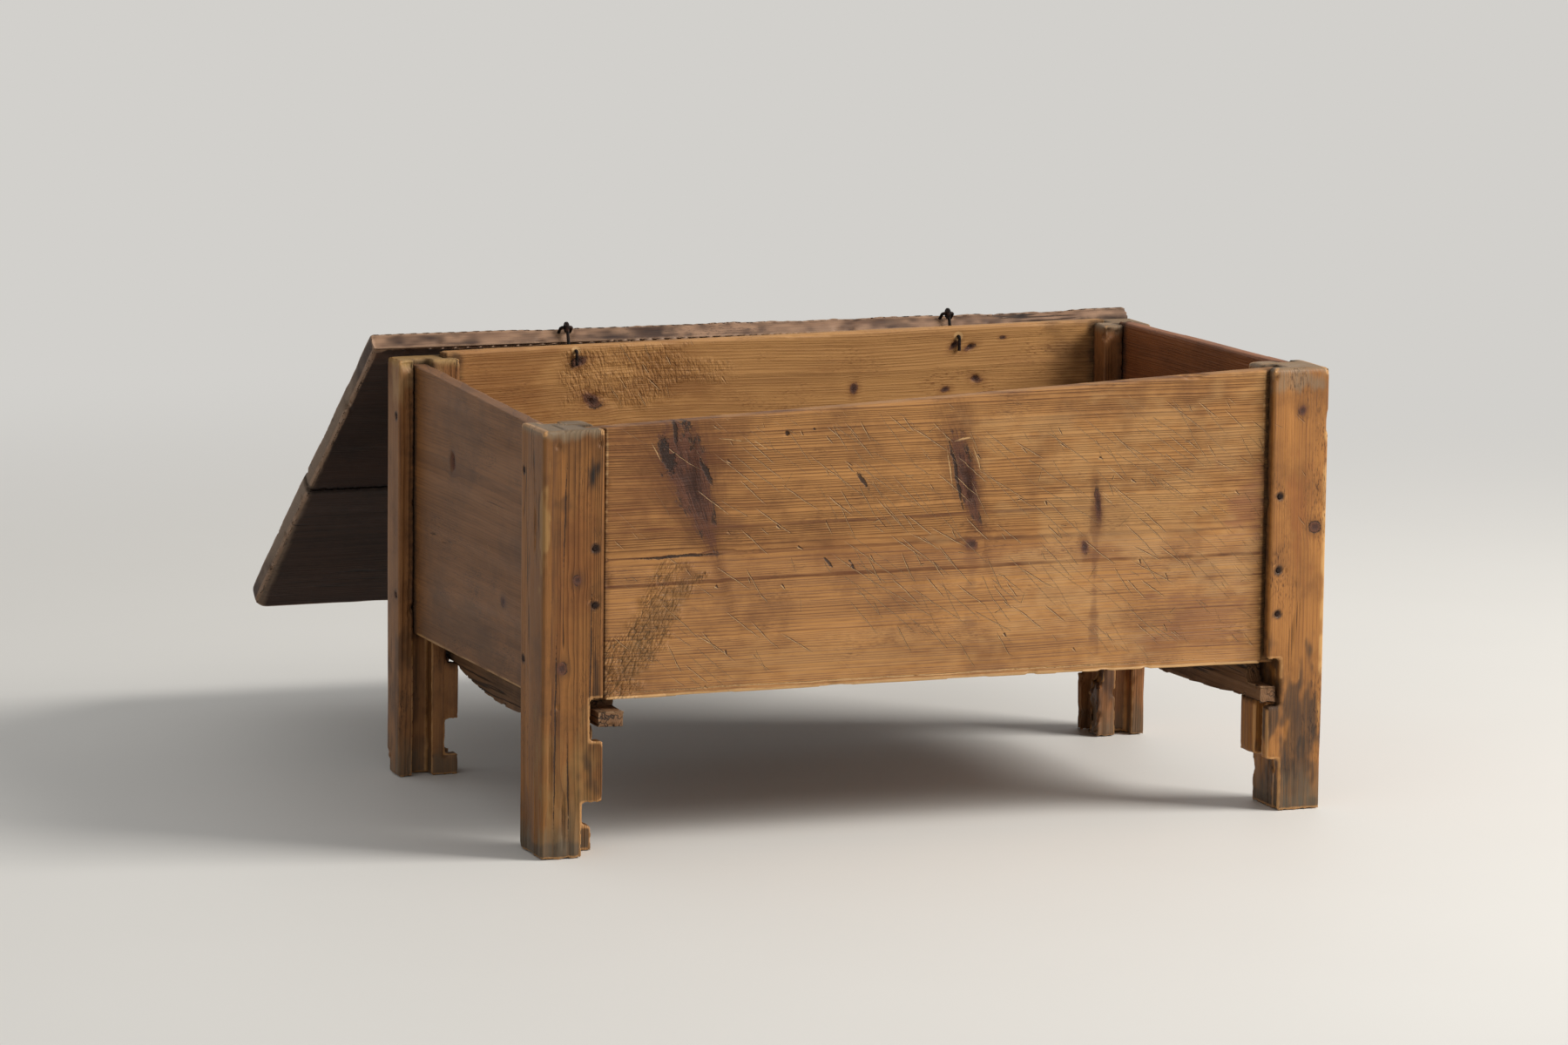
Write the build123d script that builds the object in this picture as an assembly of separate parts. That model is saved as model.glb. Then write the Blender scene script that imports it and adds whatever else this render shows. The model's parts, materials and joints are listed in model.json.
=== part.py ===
from build123d import *
import os
from dataclasses import dataclass
from math import asin, atan2, cos, degrees, hypot, radians, sin

# A boarded chest of the clamped-post kind: four grooved corner posts run down as legs and
# hold one wide board in each side, the floor lies on two bearers notched into the legs,
# and the lid hangs behind on two wrought hinges of eye and staple.
# While it is modelled, X runs along the front from the left post's outer face, Y runs
# back from the front faces, and Z is up from the floor. Millimetres.

# --- Carcase --------------------------------------------------------------------------------------
LENGTH = 1104.0            # over the outer faces of the left and right posts
DEPTH = 640.0              # over the outer faces of the front and rear posts

# --- Grooves in the posts -------------------------------------------------------------------------
FRONT_LIP = 18.0           # post wood in front of the front board's groove
REAR_LIP = 12.0            # post wood behind the rear board's groove
SIDE_LIP = 22.0            # post wood outside an end board's groove
GROOVE_DEPTH = 20.0
GROOVE_PLAY = 1.0          # groove width over the tongue that it holds
TONGUE_END_GAP = 2.0       # between a tongue's end and the groove's bottom

# --- Boards of the four sides ---------------------------------------------------------------------
FRONT_THICKNESS = 28.0
FRONT_TONGUE = 22.0        # the front board is rebated on its face to this tongue
FRONT_SHOULDER_GAP = 4.5   # between the rebate's shoulder and the post
REAR_THICKNESS = 24.0
LEFT_THICKNESS = 24.0
RIGHT_THICKNESS = 22.0

FRONT_TOP_LEFT = 553.0
FRONT_TOP_RIGHT = 595.0
FRONT_BOTTOM_LEFT = 200.8
FRONT_BOTTOM_RIGHT = 199.0
FRONT_BOTTOM_BOW = 2.4     # how far the lower edge rises over its chord
FRONT_BOW_PLACE = 0.40     # where it rises most, as a share of the board's length
REAR_TOP_LEFT = 579.0
REAR_TOP_RIGHT = 590.0
REAR_BOTTOM = 200.0
LEFT_TOP_FRONT = 545.0
LEFT_TOP_REAR = 565.0
LEFT_BOTTOM = 197.0
RIGHT_TOP_FRONT = 596.0
RIGHT_TOP_REAR = 590.0
RIGHT_BOTTOM = 198.0
BOARD_ARRIS = 2.5          # rounding of a board's top edges

# --- Legs: steps cut in the inner edge below the boards -------------------------------------------
NOTCH_TOP = 206.0          # upper end of the notch that a bearer lies in
ARRIS = 3.0                # rounding of a post's outer corners
STEP_ROUNDING = 5.0        # rounding of a step's outward corners


@dataclass(frozen=True)
class Step:
    """A length of a leg's inner edge, from `bottom` up, set back by `inset`."""

    bottom: float
    inset: float


@dataclass(frozen=True)
class Post:
    """A hand-cut post: its size, and the steps of its outer lip and its inner wing."""

    width: float           # along the front
    depth: float           # front to back
    height: float
    crown: float           # rounding of the top's edges
    lip_steps: tuple       # from the notch down
    wing_steps: tuple


POSTS = {
    "front_left": Post(
        width=84.0, depth=88.0, height=555.0, crown=5.0,
        lip_steps=(Step(152.0, 18.0), Step(71.0, 0.0), Step(0.0, 28.0)),
        wing_steps=(Step(166.0, 18.0), Step(71.0, 0.0), Step(34.0, 12.0), Step(0.0, 0.0)),
    ),
    "front_right": Post(
        width=82.0, depth=84.0, height=597.0, crown=8.0,
        lip_steps=(Step(143.0, 18.0), Step(70.0, 0.0), Step(0.0, 18.0)),
        wing_steps=(Step(147.0, 18.0), Step(70.0, 0.0), Step(0.0, 20.0)),
    ),
    "rear_left": Post(
        width=88.0, depth=52.0, height=572.0, crown=5.0,
        lip_steps=(Step(155.0, 18.0), Step(76.0, 0.0), Step(30.0, 20.0), Step(0.0, 0.0)),
        wing_steps=(Step(155.0, 18.0), Step(76.0, 0.0), Step(30.0, 20.0), Step(0.0, 0.0)),
    ),
    "rear_right": Post(
        width=74.0, depth=76.0, height=587.0, crown=5.0,
        lip_steps=(Step(150.0, 18.0), Step(82.0, 7.0), Step(0.0, 0.0)),
        wing_steps=(Step(150.0, 18.0), Step(82.0, 7.0), Step(0.0, 0.0)),
    ),
}

# --- Floor and bearers ----------------------------------------------------------------------------
FLOOR_UNDERSIDE = 203.0
FLOOR_THICKNESS = 18.0
FLOOR_BOARDS = ("front", "middle", "rear")
FLOOR_JOINT = 1.0          # gap between floor boards
FLOOR_PLAY = 1.0           # gap from the floor to the sides and the posts
LUG_HEIGHT = 24.0          # the bearer's thinned ends
LUG_SETBACK = 1.5          # from the posts' outer faces to a lug's end
SHOULDER_PLAY = 3.0        # from the side boards to a bearer's full height


@dataclass(frozen=True)
class Bearer:
    """A bowed bearer: its width, how much of it lies on the front leg, and its lowest point."""

    width: float
    seat: float
    belly: float


BEARERS = {
    "left": Bearer(width=38.0, seat=8.0, belly=131.0),
    "right": Bearer(width=26.0, seat=15.5, belly=138.0),
}

# --- Lid ------------------------------------------------------------------------------------------
LID_THICKNESS = 30.0
LID_FRONT_BOARD = 317.0    # width of the lid's front board, and the rear board takes the rest
LID_OVER_FRONT = 38.5      # how far the closed lid stands out over the front
LID_OVER_LEFT_REAR = 19.0  # and over the ends, which are sawn out of square
LID_OVER_LEFT_FRONT = 37.5
LID_OVER_RIGHT_REAR = 0.0
LID_OVER_RIGHT_FRONT = 4.0
LID_CORNERS = {"left": 24.0, "right": 15.0}   # rounding of the front corners in plan
LID_ARRIS = 3.0            # chamfer round both faces
LID_JOINT = 0.4            # gap between the two boards
LID_OPEN_BELOW_LEVEL = 40.4   # how far below level the open lid hangs, degrees
LID_REST_GAP = 0.5         # between the closed lid and the highest rim
DOWELS = 3
DOWEL_RADIUS = 5.0
DOWEL_LENGTH = 60.0
DOWEL_PLAY = 0.1

# --- Wrought hinges -------------------------------------------------------------------------------
HINGE_FROM_LEFT = 259.0
HINGE_FROM_RIGHT = 279.0
PIVOT_ABOVE_RIM = 11.5     # over the rear board's top
PIVOT_IN_LID = 10.0        # over the closed lid's underside
PIVOT_SETBACK = 9.8        # behind the lid's rear edge
STOP_GAP = 0.3             # between the open lid's edge and the rear posts
STAPLE_RADIUS = 2.4        # rod of the lid's staple, hammered eight-sided, over its corners
STAPLE_BEND = 3.0
STAPLE_HALF_SPAN = 8.0     # from the eye's plane to the middle of a staple's leg
STAPLE_LEG = 48.0          # from the pivot to the leg's point
EYE_RADIUS = 2.5           # half the thickness of the chest's forged eye and its shank
EYE_CHAMFER = 1.2          # hammered corners of the eye
EYE_BEND = 3.2
PIVOT_PLAY = 0.3           # between staple and eye
EYE_BELOW_RIM = 16.0       # where the shank goes through the rear board
EYE_CLENCH = 20.0          # length turned down on the inside
ROD_PLAY = 0.15            # round a rod in its hole
CLENCH_PLAY = 0.4          # between the clenched end and the board

# --- Nails ----------------------------------------------------------------------------------------
NAIL_SIDE = 4.0            # square shank under the head
NAIL_TIP = 1.6             # square shank at the point
NAIL_HEAD_RADIUS = 5.0     # hammered head, over its corners
NAIL_HEAD = 2.2
NAIL_INTO_TONGUE = 14.0
NAIL_PLAY = 0.1
NAIL_FROM_EDGE = 13.0      # from the lip's edge, over the middle of the tongue
FRONT_NAIL_HEIGHTS = {"front_left": (327.0, 401.0), "front_right": (267.0, 326.0, 425.0)}
REAR_NAIL_HEIGHTS = (270.0, 500.0)
SIDE_NAIL_HEIGHTS = (250.0, 495.0)
FLOOR_NAIL = 38.0
FLOOR_NAIL_INSET = 60.0    # from a floor board's long edges


# --- Worked out from the sizes above --------------------------------------------------------------
FRONT_BACK_FACE = FRONT_LIP + GROOVE_PLAY / 2 + FRONT_TONGUE
REAR_FRONT_FACE = DEPTH - REAR_LIP - GROOVE_PLAY / 2 - REAR_THICKNESS
LEFT_INNER_FACE = SIDE_LIP + GROOVE_PLAY / 2 + LEFT_THICKNESS
RIGHT_INNER_FACE = LENGTH - SIDE_LIP - GROOVE_PLAY / 2 - RIGHT_THICKNESS
REAR_RIM = max(REAR_TOP_LEFT, REAR_TOP_RIGHT)
END_THICKNESS = {"left": LEFT_THICKNESS, "right": RIGHT_THICKNESS}
FACE_TONGUE = {"front": FRONT_TONGUE, "rear": REAR_THICKNESS}
FACE_LIP = {"front": FRONT_LIP, "rear": REAR_LIP}


def turned(y, z, degrees_open):
    """A point of the closed lid, measured from the pivot, after the lid has opened."""
    a = radians(degrees_open)
    return y * cos(a) + z * sin(a), -y * sin(a) + z * cos(a)


LID_OPEN = 180.0 + LID_OPEN_BELOW_LEVEL
STOP_Y = turned(-PIVOT_SETBACK, LID_THICKNESS - PIVOT_IN_LID - LID_ARRIS, LID_OPEN)[0]
PIVOT_Y = DEPTH + STOP_GAP - STOP_Y
PIVOT_Z = REAR_RIM + PIVOT_ABOVE_RIM


def tilt_over(y, z):
    """The angle over level at which the closed lid clears a rim point by LID_REST_GAP."""
    ahead = PIVOT_Y - y
    below = PIVOT_Z - z - LID_REST_GAP
    return degrees(asin(PIVOT_IN_LID / hypot(ahead, below)) - atan2(below, ahead))


RIM_POINTS = (
    (POSTS["front_left"].depth, POSTS["front_left"].height),
    (POSTS["front_right"].depth, POSTS["front_right"].height),
    (POSTS["front_right"].depth, RIGHT_TOP_FRONT),
    (FRONT_BACK_FACE, FRONT_TOP_RIGHT),
    (REAR_FRONT_FACE, REAR_RIM),
)
LID_CLOSED_TILT = max(tilt_over(y, z) for y, z in RIM_POINTS)
LID_TRAVEL = LID_OPEN - LID_CLOSED_TILT

# The closed, level lid in plan.
LID_REAR = PIVOT_Y - PIVOT_SETBACK
LID_FRONT = -LID_OVER_FRONT
LID_JOINT_PLACE = LID_FRONT + LID_FRONT_BOARD
LID_UNDERSIDE = PIVOT_Z - PIVOT_IN_LID
LID_CORNER_PLACES = (
    (-LID_OVER_LEFT_REAR, LID_REAR),
    (LENGTH + LID_OVER_RIGHT_REAR, LID_REAR),
    (LENGTH + LID_OVER_RIGHT_FRONT, LID_FRONT),
    (-LID_OVER_LEFT_FRONT, LID_FRONT),
)


def block(x, y, z):
    """A box between two values on each axis."""
    size = (x[1] - x[0], y[1] - y[0], z[1] - z[0])
    return Pos(x[0], y[0], z[0]) * Box(*size, align=(Align.MIN, Align.MIN, Align.MIN))


def rod(start, end, radius):
    """A round rod between two points."""
    return sweep(Plane(origin=start, z_dir=Vector(*end) - Vector(*start)) * Circle(radius),
                 path=Line(start, end))


# --- Posts ----------------------------------------------------------------------------------------
def leg_outline(post, steps, spread):
    """The post's elevation with its steps, as a slab that covers `spread` of its depth."""
    points = [(0, 0), (0, post.height), (post.width, post.height), (post.width, NOTCH_TOP)]
    top = NOTCH_TOP
    for step in steps:
        points += [(post.width - step.inset, top), (post.width - step.inset, step.bottom)]
        top = step.bottom
    face = make_face(Plane.XZ * Polyline(*points, close=True))
    face = fillet(face.vertices().group_by(Axis.Z)[-1], post.crown)
    ledges = [
        corner for corner in face.vertices().group_by(Axis.X)[-1]
        if STEP_ROUNDING < corner.Z < NOTCH_TOP - STEP_ROUNDING
    ]
    face = fillet(ledges, STEP_ROUNDING)
    slab = extrude(face, amount=spread[1] - spread[0], dir=(0, 1, 0))
    return Pos(0, spread[0], 0) * slab


def post_solid(side, end):
    """One post, made as the front left one stands and then turned to its own corner."""
    post = POSTS[f"{side}_{end}"]
    lip = FACE_LIP[side]
    groove = FACE_TONGUE[side] + GROOVE_PLAY
    end_groove = END_THICKNESS[end] + GROOVE_PLAY
    plan = Rectangle(post.width, post.depth, align=(Align.MIN, Align.MIN))
    plan = fillet(plan.vertices(), ARRIS)
    solid = extrude(plan, post.height)
    middle = lip + groove / 2
    solid &= leg_outline(post, post.lip_steps, (0, middle)) + leg_outline(
        post, post.wing_steps, (middle, post.depth)
    )
    crown = Rectangle(post.depth, post.height, align=(Align.MIN, Align.MIN))
    crown = fillet(crown.vertices().group_by(Axis.Y)[-1], post.crown)
    solid &= extrude(Plane.YZ * crown, post.width)
    solid -= block((post.width - GROOVE_DEPTH, post.width + 1), (lip, lip + groove), (-1, post.height + 1))
    solid -= block(
        (SIDE_LIP, SIDE_LIP + end_groove),
        (post.depth - GROOVE_DEPTH, post.depth + 1),
        (-1, post.height + 1),
    )
    if end == "right":
        solid = Pos(LENGTH, 0, 0) * mirror(solid, about=Plane.YZ)
    if side == "rear":
        solid = Pos(0, DEPTH, 0) * mirror(solid, about=Plane.XZ)
    return solid


# --- Side boards ----------------------------------------------------------------------------------
def rounded_rim(board):
    """Rounds the two long edges of a board's top."""
    top = board.faces().sort_by(Axis.Z)[-1]
    return fillet(top.edges().sort_by(SortBy.LENGTH)[-2:], BOARD_ARRIS)


def front_board():
    """The front board: one wide plank, tapered, rebated on its face at both ends."""
    left = POSTS["front_left"].width - GROOVE_DEPTH + TONGUE_END_GAP
    right = LENGTH - POSTS["front_right"].width + GROOVE_DEPTH - TONGUE_END_GAP
    run = right - left
    crest = FRONT_BOTTOM_LEFT + (FRONT_BOTTOM_RIGHT - FRONT_BOTTOM_LEFT) * FRONT_BOW_PLACE
    lower = Spline(
        (left, FRONT_BOTTOM_LEFT),
        (left + run * FRONT_BOW_PLACE, crest + FRONT_BOTTOM_BOW),
        (right, FRONT_BOTTOM_RIGHT),
    )
    rest = Polyline(
        (right, FRONT_BOTTOM_RIGHT),
        (right, FRONT_TOP_RIGHT),
        (left, FRONT_TOP_LEFT),
        (left, FRONT_BOTTOM_LEFT),
    )
    face = make_face(Plane.XZ * (lower + rest))
    board = Pos(0, FRONT_BACK_FACE - FRONT_THICKNESS, 0) * extrude(face, FRONT_THICKNESS, dir=(0, 1, 0))
    board = rounded_rim(board)
    rebate = (FRONT_BACK_FACE - FRONT_THICKNESS - 1, FRONT_BACK_FACE - FRONT_TONGUE)
    height = (0, max(FRONT_TOP_LEFT, FRONT_TOP_RIGHT) + 1)
    board -= block((left - 1, POSTS["front_left"].width + FRONT_SHOULDER_GAP), rebate, height)
    board -= block((LENGTH - POSTS["front_right"].width - FRONT_SHOULDER_GAP, right + 1), rebate, height)
    return board


def rear_board():
    """The rear board, which carries the hinge eyes."""
    left = POSTS["rear_left"].width - GROOVE_DEPTH + TONGUE_END_GAP
    right = LENGTH - POSTS["rear_right"].width + GROOVE_DEPTH - TONGUE_END_GAP
    outline = Polyline(
        (left, REAR_BOTTOM), (right, REAR_BOTTOM), (right, REAR_TOP_RIGHT), (left, REAR_TOP_LEFT), close=True
    )
    board = extrude(make_face(Plane.XZ * outline), REAR_THICKNESS, dir=(0, 1, 0))
    return rounded_rim(Pos(0, REAR_FRONT_FACE, 0) * board)


def end_board(end):
    """An end board, between a front and a rear post."""
    front = POSTS[f"front_{end}"].depth - GROOVE_DEPTH + TONGUE_END_GAP
    rear = DEPTH - POSTS[f"rear_{end}"].depth + GROOVE_DEPTH - TONGUE_END_GAP
    bottom, top_front, top_rear = {
        "left": (LEFT_BOTTOM, LEFT_TOP_FRONT, LEFT_TOP_REAR),
        "right": (RIGHT_BOTTOM, RIGHT_TOP_FRONT, RIGHT_TOP_REAR),
    }[end]
    outline = Polyline((front, bottom), (rear, bottom), (rear, top_rear), (front, top_front), close=True)
    board = extrude(make_face(Plane.YZ * outline), END_THICKNESS[end], dir=(1, 0, 0))
    inner = LEFT_INNER_FACE - LEFT_THICKNESS if end == "left" else RIGHT_INNER_FACE
    return rounded_rim(Pos(inner, 0, 0) * board)


# --- Floor ----------------------------------------------------------------------------------------
def bearer(end):
    """A bowed bearer on edge, its ends thinned to lugs that lie in the legs' notches."""
    size = BEARERS[end]
    front_post, rear_post = POSTS[f"front_{end}"], POSTS[f"rear_{end}"]
    front_seat = front_post.wing_steps[0].bottom
    rear_seat = rear_post.wing_steps[0].bottom
    front_tip, rear_tip = LUG_SETBACK, DEPTH - LUG_SETBACK
    front_shoulder = FRONT_BACK_FACE + SHOULDER_PLAY
    rear_shoulder = REAR_FRONT_FACE - SHOULDER_PLAY
    arch_front = front_post.depth + SHOULDER_PLAY
    arch_rear = DEPTH - rear_post.depth - SHOULDER_PLAY
    belly = ThreePointArc(
        (arch_front, front_seat), ((arch_front + arch_rear) / 2, size.belly), (arch_rear, rear_seat)
    )
    rest = Polyline(
        (arch_rear, rear_seat),
        (rear_tip, rear_seat),
        (rear_tip, rear_seat + LUG_HEIGHT),
        (rear_shoulder, rear_seat + LUG_HEIGHT),
        (rear_shoulder, FLOOR_UNDERSIDE),
        (front_shoulder, FLOOR_UNDERSIDE),
        (front_shoulder, front_seat + LUG_HEIGHT),
        (front_tip, front_seat + LUG_HEIGHT),
        (front_tip, front_seat),
        (arch_front, front_seat),
    )
    solid = extrude(make_face(Plane.YZ * (belly + rest)), size.width, dir=(1, 0, 0))
    outer = front_post.width - size.seat
    start = outer if end == "left" else LENGTH - outer - size.width
    return Pos(start, 0, 0) * solid


def floor_boards():
    """Floor boards along the chest, notched round the posts that stand in their way."""
    front = FRONT_BACK_FACE + FLOOR_PLAY
    rear = REAR_FRONT_FACE - FLOOR_PLAY
    width = (rear - front - FLOOR_JOINT * (len(FLOOR_BOARDS) - 1)) / len(FLOOR_BOARDS)
    along = (LEFT_INNER_FACE + FLOOR_PLAY, RIGHT_INNER_FACE - FLOOR_PLAY)
    layer = (FLOOR_UNDERSIDE, FLOOR_UNDERSIDE + FLOOR_THICKNESS)
    boards = {}
    for i, name in enumerate(FLOOR_BOARDS):
        start = front + i * (width + FLOOR_JOINT)
        board = block(along, (start, start + width), layer)
        for corner, post in POSTS.items():
            side, end = corner.split("_")
            x = (-1, post.width + FLOOR_PLAY)
            y = (-1, post.depth + FLOOR_PLAY)
            x = x if end == "left" else (LENGTH - x[1], LENGTH - x[0])
            y = y if side == "front" else (DEPTH - y[1], DEPTH - y[0])
            board -= block(x, y, (0, FLOOR_UNDERSIDE + FLOOR_THICKNESS + 1))
        boards[f"floor_board_{name}"] = board
    return boards


# --- Nails ----------------------------------------------------------------------------------------
def nail(point, direction, length, play=0.0):
    """A wrought nail with its head flush at `point`, or the hole for it when `play` is given."""
    taper = degrees(atan2(NAIL_SIDE - NAIL_TIP, 2 * length))
    side = NAIL_SIDE + 2 * play
    shank = extrude(Rectangle(side, side), length + play, taper=taper)
    head = extrude(RegularPolygon(NAIL_HEAD_RADIUS + play, 8), NAIL_HEAD + play, taper=45)
    return Plane(origin=point, z_dir=direction) * (head + shank)


def nail_places():
    """Where each group's nails start, which way they run and how long they are."""
    places = {"front_nails": [], "rear_nails": [], "side_nails": [], "floor_nails": []}
    length = FRONT_LIP + NAIL_INTO_TONGUE
    for corner, heights in FRONT_NAIL_HEIGHTS.items():
        x = POSTS[corner].width - NAIL_FROM_EDGE
        x = x if corner == "front_left" else LENGTH - x
        places["front_nails"] += [((x, 0, z), (0, 1, 0), length) for z in heights]
    for corner in ("rear_left", "rear_right"):
        x = POSTS[corner].width - NAIL_FROM_EDGE
        x = x if corner == "rear_left" else LENGTH - x
        length = REAR_LIP + NAIL_INTO_TONGUE
        places["rear_nails"] += [((x, DEPTH, z), (0, -1, 0), length) for z in REAR_NAIL_HEIGHTS]
    for corner, post in POSTS.items():
        side, end = corner.split("_")
        y = post.depth - NAIL_FROM_EDGE
        y = y if side == "front" else DEPTH - y
        x, run = (0, 1) if end == "left" else (LENGTH, -1)
        length = SIDE_LIP + NAIL_INTO_TONGUE
        places["side_nails"] += [((x, y, z), (run, 0, 0), length) for z in SIDE_NAIL_HEIGHTS]
    top = FLOOR_UNDERSIDE + FLOOR_THICKNESS
    middle = (FRONT_BACK_FACE + REAR_FRONT_FACE) / 2
    third = (REAR_FRONT_FACE - FRONT_BACK_FACE) / len(FLOOR_BOARDS)
    for end, size in BEARERS.items():
        x = POSTS[f"front_{end}"].width - size.seat + size.width / 2
        x = x if end == "left" else LENGTH - x
        for i in range(len(FLOOR_BOARDS)):
            for reach in (-1, 1):
                y = middle + (i - 1) * third + reach * (third / 2 - FLOOR_NAIL_INSET)
                places["floor_nails"].append(((x, y, top), (0, 0, -1), FLOOR_NAIL))
    return places


# --- Lid ------------------------------------------------------------------------------------------
def open_lid(solid):
    """Turns a piece of the closed, level lid about the pivot to where the open lid hangs."""
    pivot = Axis((0, PIVOT_Y, PIVOT_Z), (-1, 0, 0))
    return solid.rotate(pivot, LID_OPEN)


def hinge_places():
    """Where the two hinges stand along the chest."""
    return {"left": HINGE_FROM_LEFT, "right": LENGTH - HINGE_FROM_RIGHT}


def lid_outline():
    """The closed lid in plan, out of square, with its front corners worn round."""
    face = make_face(Polyline(*LID_CORNER_PLACES, close=True))
    for end, rounding in LID_CORNERS.items():
        front_corners = face.vertices().group_by(Axis.Y)[0].sort_by(Axis.X)
        face = fillet(front_corners[0 if end == "left" else -1], rounding)
    return face


def lid_boards():
    """The lid's two boards, edge to edge, bored for the dowels and the staples' legs."""
    slab = Pos(0, 0, LID_UNDERSIDE) * extrude(lid_outline(), LID_THICKNESS)
    rims = slab.faces().filter_by(Axis.Z)
    slab = chamfer([edge for face in rims for edge in face.edges()], LID_ARRIS)
    wide = (-LID_OVER_LEFT_FRONT - 1, LENGTH + LID_OVER_RIGHT_FRONT + 1)
    tall = (LID_UNDERSIDE - 1, LID_UNDERSIDE + LID_THICKNESS + 1)
    boards = {
        "lid_board_rear": slab & block(wide, (LID_JOINT_PLACE + LID_JOINT / 2, LID_REAR + 1), tall),
        "lid_board_front": slab & block(wide, (LID_FRONT - 1, LID_JOINT_PLACE - LID_JOINT / 2), tall),
    }
    for name in boards:
        for dowel in dowels(DOWEL_PLAY):
            boards[name] -= dowel
    for x in hinge_places().values():
        for leg in staple_legs(x, STAPLE_RADIUS + ROD_PLAY):
            boards["lid_board_rear"] -= leg
    return {name: open_lid(board) for name, board in boards.items()}


def dowels(play=0.0):
    """The dowels across the lid's joint, in the closed lid, or their holes."""
    z = LID_UNDERSIDE + LID_THICKNESS / 2
    reach = DOWEL_LENGTH / 2 + play
    places = [LENGTH * (i + 0.5) / DOWELS for i in range(DOWELS)]
    return [
        rod((x, LID_JOINT_PLACE - reach, z), (x, LID_JOINT_PLACE + reach, z), DOWEL_RADIUS + play)
        for x in places
    ]


def staple_legs(x, radius):
    """The two straight legs of a staple, driven into the closed lid's rear edge."""
    sides = (x - STAPLE_HALF_SPAN, x + STAPLE_HALF_SPAN)
    tip = PIVOT_Y - STAPLE_LEG
    return [rod((side, PIVOT_Y, PIVOT_Z), (side, tip, PIVOT_Z), radius) for side in sides]


def staple(x):
    """The lid's staple: its crossbar is the hinge's pin."""
    tip = PIVOT_Y - STAPLE_LEG
    path = FilletPolyline(
        (x - STAPLE_HALF_SPAN, tip, PIVOT_Z),
        (x - STAPLE_HALF_SPAN, PIVOT_Y, PIVOT_Z),
        (x + STAPLE_HALF_SPAN, PIVOT_Y, PIVOT_Z),
        (x + STAPLE_HALF_SPAN, tip, PIVOT_Z),
        radius=STAPLE_BEND,
    )
    start = Plane(origin=path @ 0, z_dir=path % 0)
    return open_lid(sweep(start * RegularPolygon(STAPLE_RADIUS, 8), path=path))


def eye(x):
    """The chest's eye: a ring round the staple's crossbar, on a shank clenched inside."""
    ring = STAPLE_RADIUS + PIVOT_PLAY + EYE_RADIUS
    z = REAR_RIM - EYE_BELOW_RIM
    back = REAR_FRONT_FACE + REAR_THICKNESS
    inside = REAR_FRONT_FACE - EYE_RADIUS - CLENCH_PLAY
    path = FilletPolyline(
        (x, PIVOT_Y - ring, PIVOT_Z),
        (x, PIVOT_Y - ring, PIVOT_Z - ring),
        (x, (PIVOT_Y - ring + back) / 2, z),
        (x, inside, z),
        (x, inside, z - EYE_CLENCH),
        radius=EYE_BEND,
    )
    shank = sweep(Plane(origin=path @ 0, z_dir=path % 0) * RegularPolygon(EYE_RADIUS, 8), path=path)
    blank = Cylinder(ring + EYE_RADIUS, 2 * EYE_RADIUS)
    disc = chamfer(blank.edges().filter_by(GeomType.CIRCLE), EYE_CHAMFER)
    upright = Plane(origin=(x, PIVOT_Y, PIVOT_Z), z_dir=(1, 0, 0))
    return shank + upright * disc - upright * Cylinder(ring - EYE_RADIUS, 4 * EYE_RADIUS)


def eye_hole(x):
    """The hole for an eye's shank through the rear board."""
    z = REAR_RIM - EYE_BELOW_RIM
    ends = (x, REAR_FRONT_FACE - 1, z), (x, REAR_FRONT_FACE + REAR_THICKNESS + 1, z)
    return rod(*ends, EYE_RADIUS + ROD_PLAY)


# --- Assembly -------------------------------------------------------------------------------------
def build():
    """Every piece of the chest by its node's name, with the lid hanging open."""
    pieces = {f"post_{corner}": post_solid(*corner.split("_")) for corner in POSTS}
    pieces["front_board"] = front_board()
    pieces["rear_board"] = rear_board()
    pieces["left_end_board"] = end_board("left")
    pieces["right_end_board"] = end_board("right")
    pieces["bearer_left"] = bearer("left")
    pieces["bearer_right"] = bearer("right")
    pieces.update(floor_boards())
    places = nail_places()
    holed = {
        "front_nails": ("post_front_left", "post_front_right", "front_board"),
        "rear_nails": ("post_rear_left", "post_rear_right", "rear_board"),
        "side_nails": tuple(f"post_{corner}" for corner in POSTS) + ("left_end_board", "right_end_board"),
        "floor_nails": tuple(f"floor_board_{n}" for n in FLOOR_BOARDS) + ("bearer_left", "bearer_right"),
    }
    for group, spots in places.items():
        for name in holed[group]:
            for spot in spots:
                pieces[name] -= nail(*spot, play=NAIL_PLAY)
        pieces[group] = Compound(children=[nail(*spot) for spot in spots])
    for x in hinge_places().values():
        pieces["rear_board"] -= eye_hole(x)
    pieces.update(lid_boards())
    pieces["lid_dowels"] = Compound(children=[open_lid(d) for d in dowels()])
    for end, x in hinge_places().items():
        pieces[f"hinge_eye_{end}"] = eye(x)
        pieces[f"hinge_staple_{end}"] = staple(x)
    return pieces


def middle_of(pieces):
    """The middle, along X and Y, of the box round all the pieces."""
    boxes = [solid.bounding_box() for solid in pieces.values()]
    x = (min(box.min.X for box in boxes) + max(box.max.X for box in boxes)) / 2
    y = (min(box.min.Y for box in boxes) + max(box.max.Y for box in boxes)) / 2
    return x, y


def main():
    """Moves the whole to its origin, the bottom centre of its box, and writes one STEP each."""
    pieces = build()
    x, y = middle_of(pieces)
    os.makedirs("parts", exist_ok=True)
    for name, solid in pieces.items():
        export_step(Pos(-x, -y, 0) * solid, f"parts/{name}.step")
    print(f"carcase corner at {-x:.4f} {-y:.4f}")
    print(f"lid pivot at {-x:.4f} {PIVOT_Y - y:.4f} {PIVOT_Z:.4f}, travel {LID_TRAVEL:.4f}")


if __name__ == "__main__":
    main()
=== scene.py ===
"""An old boarded pine chest with its lid hanging open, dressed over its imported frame."""

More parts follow.
